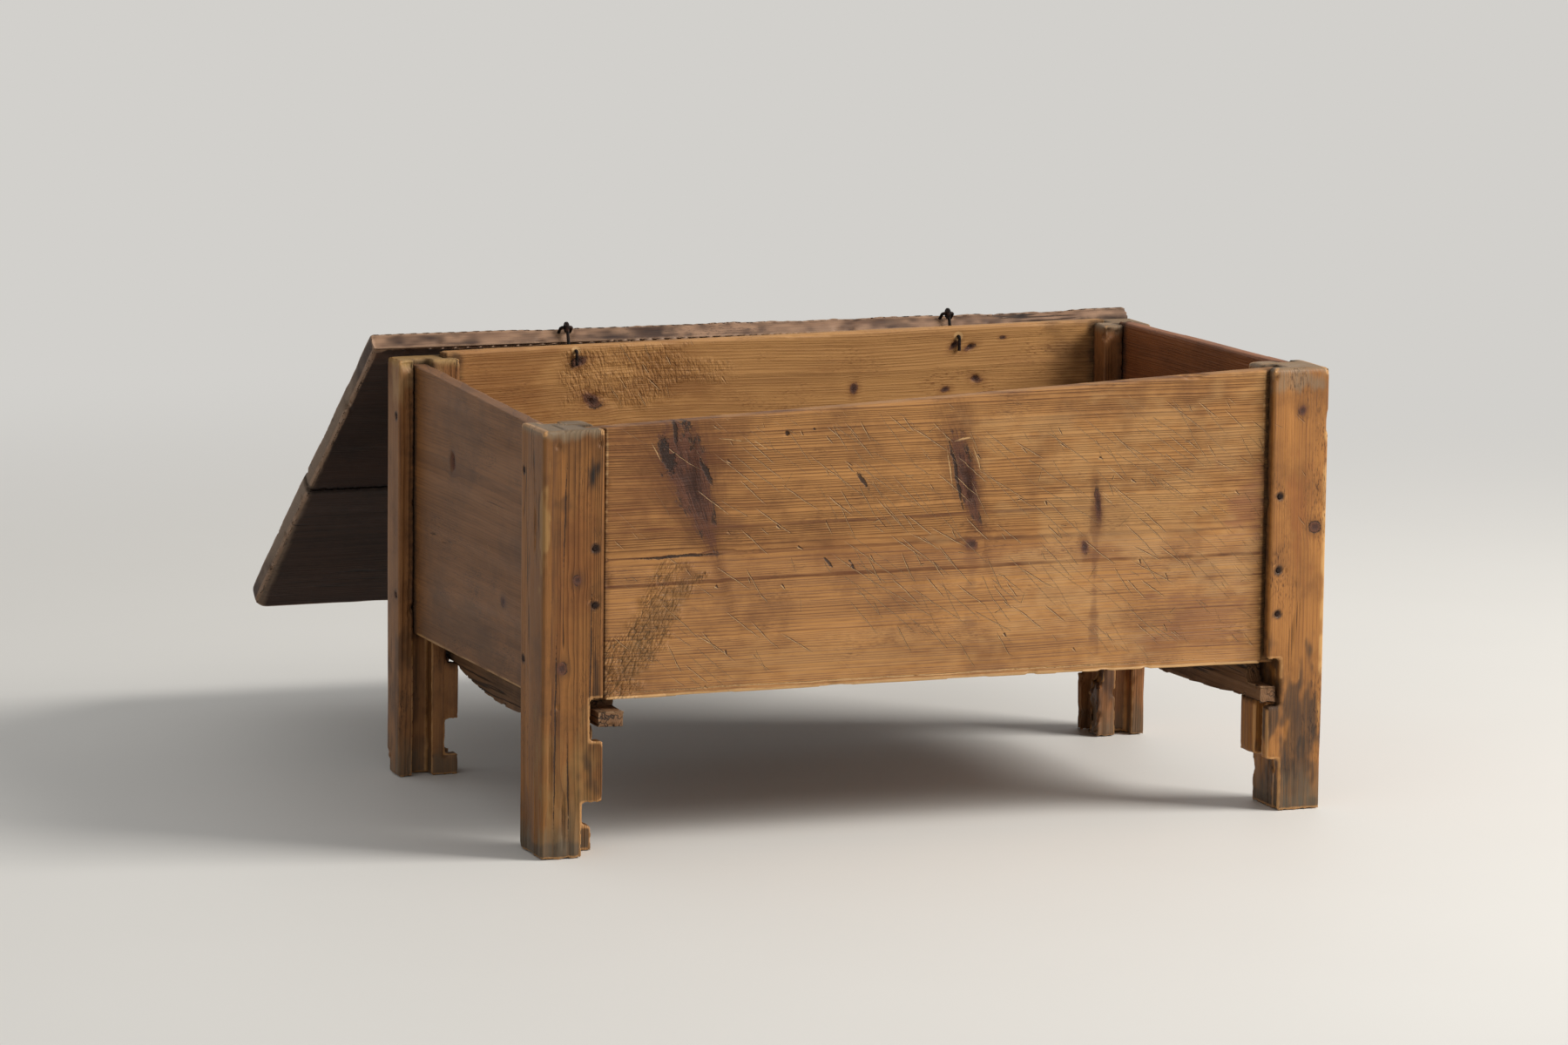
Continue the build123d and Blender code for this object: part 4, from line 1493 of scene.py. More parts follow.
    def rear_left(self, shop: Workshop) -> Timber:
        """The rear left post.

        Args:
            shop: The workshop.

        Returns:
            The timber.
        """
        marks = (
            Mark((0.56, 0.03, 0.0), (0.04, 0.04, 0.03), "b08a5c", 0.6),
            Mark((0.12, 0.02, 0.03), (0.10, 0.03, 0.06), "3a2818", 0.5, ragged=1.0),
        )
        finish = self.finish("rear_left", 0.572, marks, "ac8a56", early="9c6a3c", late="5f391b", seed=5.7,
                             heart=(0.05, 0.09), knots=(Knot((0.34, 0.06, 0.02), 0.012, 0.009),))
        frame = shop.frame(Grain.POST, y=0.588)
        dents = (
            Dent((0.006, 0.64, 0.012), (0.02, 0.02, 0.03), 0.008),
            Dent((0.02, 0.588, 0.565), (0.02, 0.004, 0.012), 0.003),
        )
        return Timber("post_rear_left", "rear_left_post", finish, frame, Slot.POST, rounding=0.0009,
                      chips=0.004, ridges=0.0013, dents=dents, seed=37)

    def rear_right(self, shop: Workshop) -> Timber:
        """The rear right post, whose foot has rotted away in part.

        Args:
            shop: The workshop.

        Returns:
            The timber.
        """
        marks = (Mark((0.08, 0.01, 0.0), (0.09, 0.03, 0.05), "2e2018", 0.7, ragged=1.1),)
        finish = self.finish("rear_right", 0.587, marks, early="a06a3c", late="653d1d", seed=9.9,
                             heart=(0.02, 0.02), knots=(Knot((0.46, 0.03, 0.02), 0.012, 0.009),))
        frame = shop.frame(Grain.POST, 1.03, 0.564)
        dents = (
            Dent((1.03, 0.60, 0.085), (0.018, 0.05, 0.03), 0.008),
            Dent((1.03, 0.60, 0.03), (0.012, 0.05, 0.035), 0.006),
            Dent((1.033, 0.566, 0.575), (0.02, 0.01, 0.012), 0.004),
            Dent((1.05, 0.564, 0.577), (0.003, 0.004, 0.003), 0.002),
        )
        return Timber("post_rear_right", "rear_right_post", finish, frame, Slot.POST, rounding=0.0010,
                      chips=0.005, ridges=0.0018, dents=dents, seed=41)


@dataclass
class Sides:
    """The four wide boards between the posts."""

    cell: float = 0.0031
    heart_height: float = 0.384

    def build(self, shop: Workshop, nails: dict[str, list[Point]]) -> list[Object]:
        """Makes the four boards, each with the nails that stand in it.

        Args:
            shop: The workshop.
            nails: The heads that stand in each timber, by its node.

        Returns:
            The pieces.
        """
        made = []
        for maker in (self.front, self.rear, self.left, self.right):
            timber = maker(shop)
            made.append(replace(timber, cell=self.cell, nails=tuple(nails.get(timber.node, ()))).build(shop))
        return made

    def front(self, shop: Workshop) -> Timber:
        """The front board, with two spike knots, a heart shake and the cuts of many years.

        Args:
            shop: The workshop.

        Returns:
            The timber.
        """
        face = 0.0125
        spikes = (
            Knot((0.208, 0.472, face), 0.088, 0.025, radians(-71.0), 0.02, -0.62),
            Knot((0.589, 0.463, face), 0.064, 0.013, radians(-74.0), 0.02, -0.35),
            Knot((0.597, 0.380, face), 0.009, 0.007),
            Knot((0.758, 0.369, face), 0.010, 0.005, radians(-85.0)),
            Knot((0.776, 0.425, face), 0.024, 0.0045, radians(-84.0)),
        )
        marks = (
            Mark((0.17, 0.49, face), (0.15, 0.11, 0.02), "6b3a1a", 0.5, soft=0.95),
            Mark((0.60, 0.375, face), (0.45, 0.035, 0.02), "7a4820", 0.35, soft=0.9),
            Mark((0.66, 0.3860, face), (0.40, 0.005, 0.02), "4f2b14", 0.45, radians(-1.2), 0.9, 1.0),
            # Painted light: the board's right end is painted paler where the lamp from the right lights it
            # most strongly.
            Mark((0.86, 0.42, face), (0.26, 0.17, 0.02), "c79c66", 0.35, soft=0.95, ragged=1.2),
            Mark((0.45, 0.24, face), (0.30, 0.03, 0.02), "c4945a", 0.3, soft=0.95, ragged=1.2),
            Mark((0.210, 0.465, face), (0.115, 0.050, 0.02), "55301a", 0.5, radians(-71.0), 0.8, 0.9),
            Mark((0.590, 0.485, face), (0.030, 0.060, 0.02), "6b3d1e", 0.45, soft=0.9, ragged=0.9),
            Mark((0.597, 0.36, face), (0.010, 0.10, 0.02), "6b4020", 0.4, soft=0.8, ragged=1.1),
            Mark((0.773, 0.33, face), (0.007, 0.11, 0.02), "5c3219", 0.55, soft=0.8, ragged=1.1),
            Mark((0.99, 0.41, face), (0.04, 0.07, 0.02), "84503a", 0.5, ragged=1.0),
            Mark((0.93, 0.26, face), (0.08, 0.04, 0.02), "7d4c2c", 0.45, ragged=1.1),
            Mark((0.152, 0.290, face), (0.115, 0.026, 0.02), "5b4426", 0.35, radians(57), 0.7, 0.9),
        )
        scores = (
            Score((0.190, 0.3835, face), 0.060, radians(1.0), 0.0018),
            Score((0.574, 0.470, face), 0.050, radians(-77.0), 0.0026),
            Score((0.226, 0.491, face), 0.020, radians(-66.0), 0.0045),
            Score((0.174, 0.514, face), 0.028, radians(-75.0), 0.0095),
            Score((0.183, 0.545, face), 0.020, radians(-85.0), 0.0040),
            Score((0.337, 0.536, face), 0.0034, 0.0, 0.0034),
            Score((0.374, 0.541, face), 0.0022, 0.0, 0.0022),
            Score((0.442, 0.470, face), 0.014, radians(-52.0), 0.0034),
            Score((0.395, 0.365, face), 0.010, radians(-50.0), 0.0024),
            Score((0.428, 0.362, face), 0.009, radians(-55.0), 0.0022),
        )
        scribed = (
            Score((0.500, 0.2105, face), 0.42, 0.0, 0.0012),
            Score((0.158, 0.520, face), 0.016, radians(-62.0), 0.0010),
            Score((0.264, 0.531, face), 0.022, radians(-8.0), 0.0008),
            Score((0.296, 0.526, face), 0.020, radians(-32.0), 0.0008),
            Score((0.583, 0.519, face), 0.014, radians(8.0), 0.0020),
            Score((0.565, 0.480, face), 0.030, radians(-80.0), 0.0012),
            Score((0.603, 0.492, face), 0.020, radians(-70.0), 0.0012),
        )
        worked = (Mark((0.58, 0.39, face), (0.45, 0.17, 0.008), soft=0.25, ragged=0.4),)
        strokes = (
            Strokes(radians(-41), 0.22, 62.0, 0.060, 0.00075, 0.65, 0.70, 2.4, 0.0, 0.2, 7.0),
            Strokes(radians(-34), 0.20, 45.0, 0.075, 0.00070, 0.55, 0.65, 2.2, 3.3, 0.2, 6.0),
            Strokes(radians(-56), 0.26, 55.0, 0.040, 0.00075, 0.55, 0.70, 2.4, 7.1, 0.2, 5.0),
            Strokes(radians(-50), 0.70, 20.0, 0.008, 0.00150, 0.45, 0.95, 3.2, 11.9, 0.5),
            Strokes(radians(10), 3.00, 20.0, 0.013, 0.00060, 0.45, 0.75, 1.8, 15.7),
        )
        torn = (
            Mark((0.140, 0.283, face), (0.128, 0.037, 0.01), "5c4220", 0.65, radians(57), 0.5, 0.5),
            Mark((0.108, 0.240, face), (0.042, 0.054, 0.01), "5a4426", 0.6, 0.0, 0.6, 0.5),
        )
        finish = WoodFinish("front_board_pine", early="b58046", late="603616", dark="5f3616", worn="dfb27a",
                            ring_width=0.0037, waver=0.016, heart=(self.heart_height, 0.02), seed=1.3,
                            knots=spikes, marks=marks, strokes=strokes, worked=worked, scores=scores,
                            scribed=scribed, torn=torn, blotch=0.5, blotch_scale=12.0, relief=0.8, wear=1.0,
                            beetle_share=0.1, check_share=0.0, ring_contrast=1.35, knot="5c3523",
                            knot_heart="331a10", knot_ragged=0.6, halo=0.6, speck=0.45)
        frame = shop.frame(Grain.FRONT)
        dents = (
            Dent((0.910, face, 0.592), (0.024, 0.03, 0.006), 0.0045),
            Dent((0.998, face, 0.249), (0.008, 0.004, 0.004), 0.002),
            Dent((0.205, face, 0.490), (0.012, 0.004, 0.06), 0.0022),
            Dent((0.590, face, 0.470), (0.007, 0.004, 0.045), 0.0030),
            Dent((0.337, face, 0.536), (0.0035, 0.004, 0.0035), 0.003),
            Dent((0.22, face, 0.389), (0.08, 0.004, 0.0018), 0.0012),
        )
        return Timber("front_board", "front_board", finish, frame, Slot.BOARD, rounding=0.0006, chips=0.0022,
                      unevenness=0.0006, dents=dents, rough=torn, rough_depth=0.0016, seed=53)

    def rear(self, shop: Workshop) -> Timber:
        """The rear board, torn and knotty on the face that the open chest shows.

        Args:
            shop: The workshop.

        Returns:
            The timber.
        """
        face = 0.6035
        places = (
            (0.263, 0.559, 0.012, 0.007, 0.3), (0.283, 0.505, 0.016, 0.009, -0.5),
            (0.668, 0.506, 0.006, 0.008, 0.0), (0.819, 0.562, 0.009, 0.004, 0.7),
            (0.842, 0.558, 0.010, 0.004, 0.4), (0.852, 0.513, 0.010, 0.005, -0.3),
            (0.806, 0.500, 0.007, 0.004, 0.2), (0.893, 0.570, 0.005, 0.003, 0.0),
        )
        knots = tuple(Knot((x, z, face), long, wide, lean, 0.2) for x, z, long, wide, lean in places)
        torn = (
            Mark((0.385, 0.545, face), (0.045, 0.085, 0.01), "7a4f26", 0.4, radians(105), 0.8, 0.9),
            Mark((0.275, 0.535, face), (0.035, 0.040, 0.01), "5e3a1c", 0.6, 0.0, 0.7, 0.9),
        )
        marks = (
            Mark((0.385, 0.55, face), (0.07, 0.05, 0.02), "7b4a20", 0.45),
            Mark((0.15, 0.54, face), (0.08, 0.06, 0.02), "8a5426", 0.4),
            # Painted shadow: the right end of the board's inner face is painted dark where the right end
            # board and the rear right post shade it from the lamp.
            Mark((1.0, 0.45, face), (0.05, 0.2, 0.02), "4c2e18", 0.5, soft=0.8),
        )
        worked = (torn[0], Mark((0.12, 0.575, face), (0.06, 0.02, 0.01)))
        strokes = (Strokes(radians(-62), 0.7, 30.0, 0.020, 0.0012, 0.7, 0.6, 2.6, 1.0),)
        finish = WoodFinish("rear_board_pine", early="c59258", late="87572c", dark="7b4c26", worn="dfb47c",
                            ring_width=0.0038, waver=0.03, heart=(0.30, 0.66), seed=6.2, knots=knots,
                            torn=torn, marks=marks, strokes=strokes, blotch=0.3, worked=worked,
                            knot_ragged=0.6, relief=0.4, ring_contrast=0.55, wear=0.95, check_share=0.05,
                            tear_depth=1.2)
        frame = shop.frame(Grain.FRONT)
        pits = ((0.262, 0.560, 0.007), (0.281, 0.503, 0.009), (0.289, 0.512, 0.005), (0.818, 0.562, 0.005),
                (0.842, 0.559, 0.006), (0.851, 0.514, 0.006))
        dents = tuple(Dent((x, face, z), (r, 0.005, r * 0.8), 0.0035) for x, z, r in pits)
        dents += (
            Dent((0.069, face, 0.572), (0.002, 0.01, 0.012), 0.003),
            Dent((0.60, face, 0.585), (0.05, 0.006, 0.004), 0.0015),
        )
        return Timber("rear_board", "rear_board", finish, frame, Slot.BOARD, rounding=0.0008, chips=0.0025,
                      unevenness=0.0007, dents=dents, rough=torn, rough_depth=0.0014, seed=67)

    def left(self, shop: Workshop) -> Timber:
        """The left end board.

        Args:
            shop: The workshop.

        Returns:
            The timber.
        """
        face = 0.0225
        knots = (Knot((0.43, 0.455, face), 0.009, 0.013, 0.0, 0.03), Knot((0.22, 0.30, face), 0.009, 0.007))
        worked = (Mark((0.36, 0.36, face), (0.2, 0.12, 0.01)),)
        finish = WoodFinish(
            "left_end_pine", early="85572c", late="513014", dark="3f2510", ring_width=0.0036, waver=0.02,
            heart=(0.45, 0.05), seed=4.4, knots=knots, blotch=0.5, wear=0.55, check_share=0.1,
            strokes=(Strokes(radians(20), 1.6, 14.0, 0.020, 0.0007, 0.4),), worked=worked,
            marks=(Mark((0.35, 0.24, face), (0.3, 0.05, 0.03), "4a3018", 0.5, soft=0.9),),
        )
        frame = shop.frame(Grain.END)
        dents = (Dent((face, 0.43, 0.455), (0.004, 0.010, 0.014), 0.004),)
        return Timber("left_end_board", "left_end_board", finish, frame, Slot.BOARD, rounding=0.0008,
                      dents=dents, unevenness=0.0008, seed=71)

    def right(self, shop: Workshop) -> Timber:
        """The right end board, redder than the others.

        Args:
            shop: The workshop.

        Returns:
            The timber.
        """
        finish = WoodFinish(
            "right_end_pine", early="94592f", late="5f351a", dark="522c15", ring_width=0.0036, waver=0.02,
            heart=(0.25, 1.15), seed=7.7, blotch=0.5, wear=0.6, check_share=0.1,
            knots=(Knot((0.30, 0.42, 1.07), 0.012, 0.010), Knot((0.47, 0.29, 1.07), 0.009, 0.009)),
        )
        return Timber("right_end_board", "right_end_board", finish, shop.frame(Grain.END),
                      Slot.BOARD, rounding=0.0008, unevenness=0.0008, seed=83)


@dataclass
class Floor:
    """Three boards on two bowed bearers."""

    cell: float = 0.0046
    bearer_cell: float = 0.003

    def build(self, shop: Workshop, nails: dict[str, list[Point]]) -> list[Object]:
        """Makes the floor, with the nails that stand in it, and its bearers.

        Args:
            shop: The workshop.
            nails: The heads that stand in each timber, by its node.

        Returns:
            The pieces.
        """
        made = []
        hearts = {"front": 0.02, "middle": 0.31, "rear": 0.56}
        for i, (place, heart) in enumerate(hearts.items()):
            node = f"floor_board_{place}"
            finish = WoodFinish(f"floor_{place}_pine", early="94693f", late="644427", dark="523819",
                                grime="271d15", ring_width=0.004, waver=0.025, heart=(heart, 0.17),
                                seed=12.0 + i, blotch=0.7, seam=0.9, wear=0.2, roughness=0.72,
                                knots=(Knot((0.25 + 0.22 * i, heart + 0.08, 0.21), 0.013, 0.011),))
            timber = Timber(node, node, finish, shop.frame(Grain.FLAT), Slot.FLOOR, cell=self.cell,
                            unevenness=0.0012, nails=tuple(nails.get(node, ())), seed=90 + i)
            made.append(timber.build(shop))
        for i, end in enumerate(("left", "right")):
            node = f"bearer_{end}"
            finish = WoodFinish(f"bearer_{end}_pine", early="7a5636", late="4a3220", dark="3c2919",
                                grime="1d1612", worn="8f7050", heart=(0.25, 0.3 + i), seed=15.0 + i,
                                blotch=0.6, roughness=0.75, relief=0.8, check_share=0.7, check_thin=0.03)
            timber = Timber(node, f"{end}_bearer", finish, shop.frame(Grain.END), Slot.FLOOR,
                            cell=self.bearer_cell, unevenness=0.0016, rounding=0.0014, chips=0.004,
                            ridges=0.0014, seed=95 + i)
            made.append(timber.build(shop))
        return made


@dataclass
class Lid:
    """The lid's two boards, hanging open behind the chest."""

    cell: float = 0.0036
    below_level: float = radians(40.4)
    hinge_edge_wear: float = 0.004
    sound_end: float = 1.025

    def build(self, shop: Workshop) -> list[Object]:
        """Makes the two boards and dresses the dowels between them.

        Args:
            shop: The workshop.

        Returns:
            The pieces.
        """
        frame = GrainFrame(Grain.FLAT, tuple(self.hinge_corner()), math.pi - self.below_level)
        made = [self.board(shop, frame, place).build(shop) for place in ("rear", "front")]
        dowels = shop.nodes["lid_dowels"]
        dowels.data.materials.clear()
        ash = WoodFinish("dowel_ash", early="a98a63", late="7f6141", seed=2.2, check_share=0.0)
        dowels.data.materials.append(ash.material(shop.effects, frame))
        return made

    @staticmethod
    def hinge_corner() -> Vector:
        """The place from which the lid's grain is measured: its left end, at the hinge edge."""
        low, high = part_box("lid_board_rear")
        return Vector((low.x, low.y, high.z))

    def board(self, shop: Workshop, frame: GrainFrame, place: str) -> Timber:
        """One of the two boards.

        Args:
            shop: The workshop.
            frame: The lid's grain.
            place: Which board, rear or front.

        Returns:
            The timber.
        """
        node = f"lid_board_{place}"
        rear = place == "rear"
        marks = (
            Mark((0.0, 0.0, 0.0), (0.010, 2.0, 0.3), "8c7560", 0.75, soft=0.6, ragged=0.3),
            Mark((0.5, 0.0, 0.0), (0.8, 0.016, 0.3), "b08a6c", 0.85, soft=0.5, ragged=0.5),
            Mark((0.5, -0.03, 0.0), (0.8, 0.02, 0.3), "6b4c3a", 0.5, soft=0.8, ragged=0.9),
        )
        knots = (
            Knot((0.42, -0.18 if rear else -0.48, 0.0), 0.016, 0.012, deep=0.1),
            Knot((0.83, -0.11 if rear else -0.56, 0.0), 0.012, 0.010, deep=0.1),
        )
        # Painted shade: the boards' very dark tones are those of the outer face hanging down and away from
        # the lamps, in shade.
        finish = WoodFinish(
            f"lid_{place}_pine", early="40291c" if rear else "452d1f", late="271812", dark="21140e",
            grime="150f0c", worn="a5846a", knot="2f1d16", knot_heart="1c110d", ring_width=0.0036,
            waver=0.03, heart=(-0.12 if rear else -0.5, 0.08), seed=20.0 + rear, blotch=0.6, wear=0.62,
            roughness=0.62, marks=marks, check_share=0.35, check_thin=0.02, knots=knots,
        )
        dents = self.edge_dents(shop) if rear else ()
        return Timber(node, node, finish, frame, Slot.LID, Body.LID, self.cell, unevenness=0.001,
                      rounding=0.0018, chips=0.004, dents=dents, seed=101 + rear)

    def edge_dents(self, shop: Workshop) -> tuple[Dent, ...]:
        """The wear along the hinge edge, which deepens to the right and stops short of the sound end.

        Args:
            shop: The workshop.

        Returns:
            The hollows.
        """
        low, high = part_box("lid_board_rear")
        left = low.x - shop.corner.x
        count = 14
        span = (self.sound_end - left) / count
        dents = []
        for i in range(count):
            middle = left + span * (i + 0.5)
            depth = self.hinge_edge_wear * (0.15 + 0.85 * i / count) * (0.8 + 0.2 * math.sin(i * 2.4))
            ridge = (middle, low.y - shop.corner.y + 0.014, high.z)
            dents.append(Dent(ridge, (span * 0.8, 0.016, 0.010), depth, 0.15))
        return tuple(dents)


@dataclass
class Ironwork:
    """The two loop hinges: an eye on the chest and a staple on the lid for each."""

    cell: float = 0.0004
    hammering: float = 0.00022
    hammer_face: float = 0.004
    irons: tuple[tuple[str, Body, int], ...] = (("eye", Body.CHEST, 7), ("staple", Body.LID, 9))

    def build(self, shop: Workshop) -> list[Object]:
        """Hammers each eye and each staple from its solid.

        Args:
            shop: The workshop.

        Returns:
            The pieces.
        """
        black = IronFinish("forged_iron").material()
        made = []
        for (i, end), (iron, body, seed) in product(enumerate(("left", "right")), self.irons):
            node, name = f"hinge_{iron}_{end}", f"{end}_hinge_{iron}"
            mesh = shop.fine_mesh(shop.merged(node), name, self.cell)
            points, normals = shop.points_and_normals(mesh)
            marks = self.hammering * (1 + smooth_noise(points, self.hammer_face, seed + i)) / 2
            mesh.vertices.foreach_set("co", (points - normals * marks[:, None]).ravel())
            mesh.update()
            made.append(shop.finish_piece(mesh, name, body, Slot.IRON, node, black))
        return made


@dataclass
class Nails:
    """The wrought nails, laid out by one Geometry Nodes tree for each group."""

    head_radius: float = 0.0044
    head_height: float = 0.0016
    shank_radius: float = 0.0024
    tip_radius: float = 0.001
    sunk: float = 0.0005
    least_size: float = 0.86
    dinting: float = 0.0007
    point_room: float = 0.003
    groups: tuple[str, ...] = ("front_nails", "rear_nails", "side_nails", "floor_nails")
    places: dict[str, list[tuple[Vector, Vector, float]]] = field(default_factory=dict)

    def read(self, shop: Workshop) -> None:
        """Finds each nail's place, direction and length from its solid.

        Args:
            shop: The workshop.
        """
        for group in self.groups:
            copy = shop.merged(group)
            self.places[group] = [self.nail_of(island) for island in self.islands(copy)]
            copy.free()

    @staticmethod
    def islands(copy: BMesh) -> list[list[Vector]]:
        """The points of each separate solid of a mesh.

        Args:
            copy: The mesh.

        Returns:
            One list of points for each.
        """
        left = set(copy.verts)
        found = []
        while left:
            open_ends = [min(left, key=lambda vertex: vertex.index)]
            left.discard(open_ends[0])
            island = []
            while open_ends:
                vertex = open_ends.pop()
                island.append(vertex.co.copy())
                for edge in vertex.link_edges:
                    other = edge.other_vert(vertex)
                    if other in left:
                        left.discard(other)
                        open_ends.append(other)
            found.append(island)
        return found

    @staticmethod
    def nail_of(points: list[Vector]) -> tuple[Vector, Vector, float]:
        """A nail's head, the way its head faces, and its length.

        Args:
            points: The points of its solid.

        Returns:
            The head's middle, its direction and the length.
        """
        low = Vector([min(p[i] for p in points) for i in range(3)])
        high = Vector([max(p[i] for p in points) for i in range(3)])
        size = high - low
        axis = max(range(3), key=lambda i: size[i])
        middle = (low + high) / 2
        spread = {end: sum(abs(p[axis] - end) < 1e-5 for p in points) for end in (low[axis], high[axis])}
        top = max(spread, key=lambda end: spread[end])
        facing = Vector((0.0, 0.0, 0.0))
        facing[axis] = 1.0 if top == high[axis] else -1.0
        middle[axis] = top
        return middle, facing, size[axis]

    def heads_in(self, shop: Workshop) -> dict[str, list[Point]]:
        """The nail heads that stand in each timber.

        Args:
            shop: The workshop.

        Returns:
            The heads' places, by the timber's node.
        """
        found: dict[str, list[Point]] = {}
        for spots in self.places.values():
            for head, _, _ in spots:
                for node in shop.nodes:
                    low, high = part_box(node)
                    inside = all(low[i] - 0.001 < head[i] < high[i] + 0.001 for i in range(3))
                    if inside and "nails" not in node:
                        found.setdefault(node, []).append(tuple(head))
        return found

    def tree(self) -> NodeTree:
        """The Geometry Nodes tree that sets a wrought nail on every point.

        Returns:
            The tree, whose sizes are inputs.
        """
        tree = bpy.data.node_groups.new("nail_setting", "GeometryNodeTree")
        sizes = ("Head Radius", "Head Height", "Shank Radius", "Tip Radius", "Shank Length", "Sunk")
        kinds = {"Geometry": "Geometry", **dict.fromkeys(sizes, "Float"), "Seed": "Int", "Iron": "Material"}
        for label, kind in kinds.items():
            tree.interface.new_socket(label, in_out="INPUT", socket_type="NodeSocket" + kind)
        tree.interface.new_socket("Geometry", in_out="OUTPUT", socket_type="NodeSocketGeometry")
        graph = Graph(tree)
        at = graph.outputs(graph.node("NodeGroupInput"))
        lift = (at["Sunk"] + at["Head Height"]) * -1.0
        nail = graph.node("GeometryNodeJoinGeometry")
        for height, cone in (
            (lift, {"Vertices": 9, "Side Segments": 3, "Fill Segments": 2, "Radius Bottom": at["Head Radius"],
                    "Radius Top": at["Head Radius"] * 0.72, "Depth": at["Head Height"]}),
            (lift - at["Shank Length"], {"Vertices": 4, "Side Segments": 6, "Radius Bottom": at["Tip Radius"],
                                         "Radius Top": at["Shank Radius"], "Depth": at["Shank Length"]}),
        ):
            part = {"Geometry": graph.out("GeometryNodeMeshCone", cone), "Translation": graph.join(z=height)}
            graph.feed(graph.out("GeometryNodeTransform", part), nail.inputs[0])
        facing = graph.out("GeometryNodeInputNamedAttribute", {"Name": "facing"}, data_type="FLOAT_VECTOR")
        aim = graph.out("FunctionNodeAlignRotationToVector", {"Vector": facing}, axis="Z")
        luck = {2: 0.0, 3: math.tau, "Seed": at["Seed"]}
        spin = graph.out("FunctionNodeRandomValue", luck, 1, data_type="FLOAT")
        turn = graph.out("FunctionNodeAxisAngleToRotation", {"Axis": (0.0, 0.0, 1.0), "Angle": spin})
        both = graph.out("FunctionNodeRotateRotation", {0: aim, 1: turn}, rotation_space="LOCAL")
        luck = {2: self.least_size, 3: 1.0, "Seed": at["Seed"] + 1.0}
        size = graph.out("FunctionNodeRandomValue", luck, 1, data_type="FLOAT")
        inputs = {"Points": at["Geometry"], "Instance": Wire(graph, nail.outputs[0]), "Rotation": both,
                  "Scale": graph.join(size, size, 1.0)}
        nails = graph.out("GeometryNodeInstanceOnPoints", inputs)
        real = graph.out("GeometryNodeRealizeInstances", {0: nails})
        where = graph.out("GeometryNodeInputPosition")
        blow = graph.out("ShaderNodeTexNoise", {"Vector": where, "Scale": 520.0, "Detail": 1.0}, 1)
        blow = (blow - (0.5, 0.5, 0.5)) * (self.dinting, self.dinting, self.dinting)
        dented = graph.out("GeometryNodeSetPosition", {"Geometry": real, "Offset": blow})
        dressed = graph.out("GeometryNodeSetMaterial", {"Geometry": dented, "Material": at["Iron"]})
        graph.node("NodeGroupOutput", {0: dressed})
        return tree

    def build(self, shop: Workshop) -> list[Object]:
        """Sets every group's nails.

        Args:
            shop: The workshop.

        Returns:
            One piece for each group.
        """
        tree = self.tree()
        iron = IronFinish("nail_iron", scale="33251f", rust="5a3524", roughness=0.75).material()
        return [self.group(shop, tree, iron, name, i) for i, name in enumerate(self.groups)]

    def group(self, shop: Workshop, tree: NodeTree, iron: Material, name: str, seed: int) -> Object:
        """Sets one group's nails and turns them into a plain mesh.

        Args:
            shop: The workshop.
            tree: The Geometry Nodes tree.
            iron: The nails' finish.
            name: The group, which is also its solid's name.
            seed: Chooses how the nails are turned.

        Returns:
            The piece.
        """
        spots = self.places[name]
        points = bpy.data.meshes.new(name + "_points")
        points.from_pydata([tuple(head) for head, _, _ in spots], [], [])
        facing = points.attributes.new("facing", "FLOAT_VECTOR", "POINT")
        facing.data.foreach_set("vector", [value for _, way, _ in spots for value in way])
        carrier = placed(name + "_points", points)
        modifier = carrier.modifiers.new("setting", "NODES")
        modifier.node_group = tree
        length = spots[0][2] - self.head_height - self.point_room
        values = {
            "Head Radius": self.head_radius, "Head Height": self.head_height,
            "Shank Radius": self.shank_radius, "Tip Radius": self.tip_radius,
            "Shank Length": length, "Sunk": self.sunk, "Seed": seed, "Iron": iron,
        }
        for item in tree.interface.items_tree:
            if item.in_out == "INPUT" and item.name in values:
                modifier[item.identifier] = values[item.name]
        piece = name.replace("_nails", "_wrought_nails")
        return shop.finish_piece(baked(carrier, name), piece, Body.CHEST, Slot.NAIL, name, iron)


# --- Studio -------------------------------------------------------------------------------


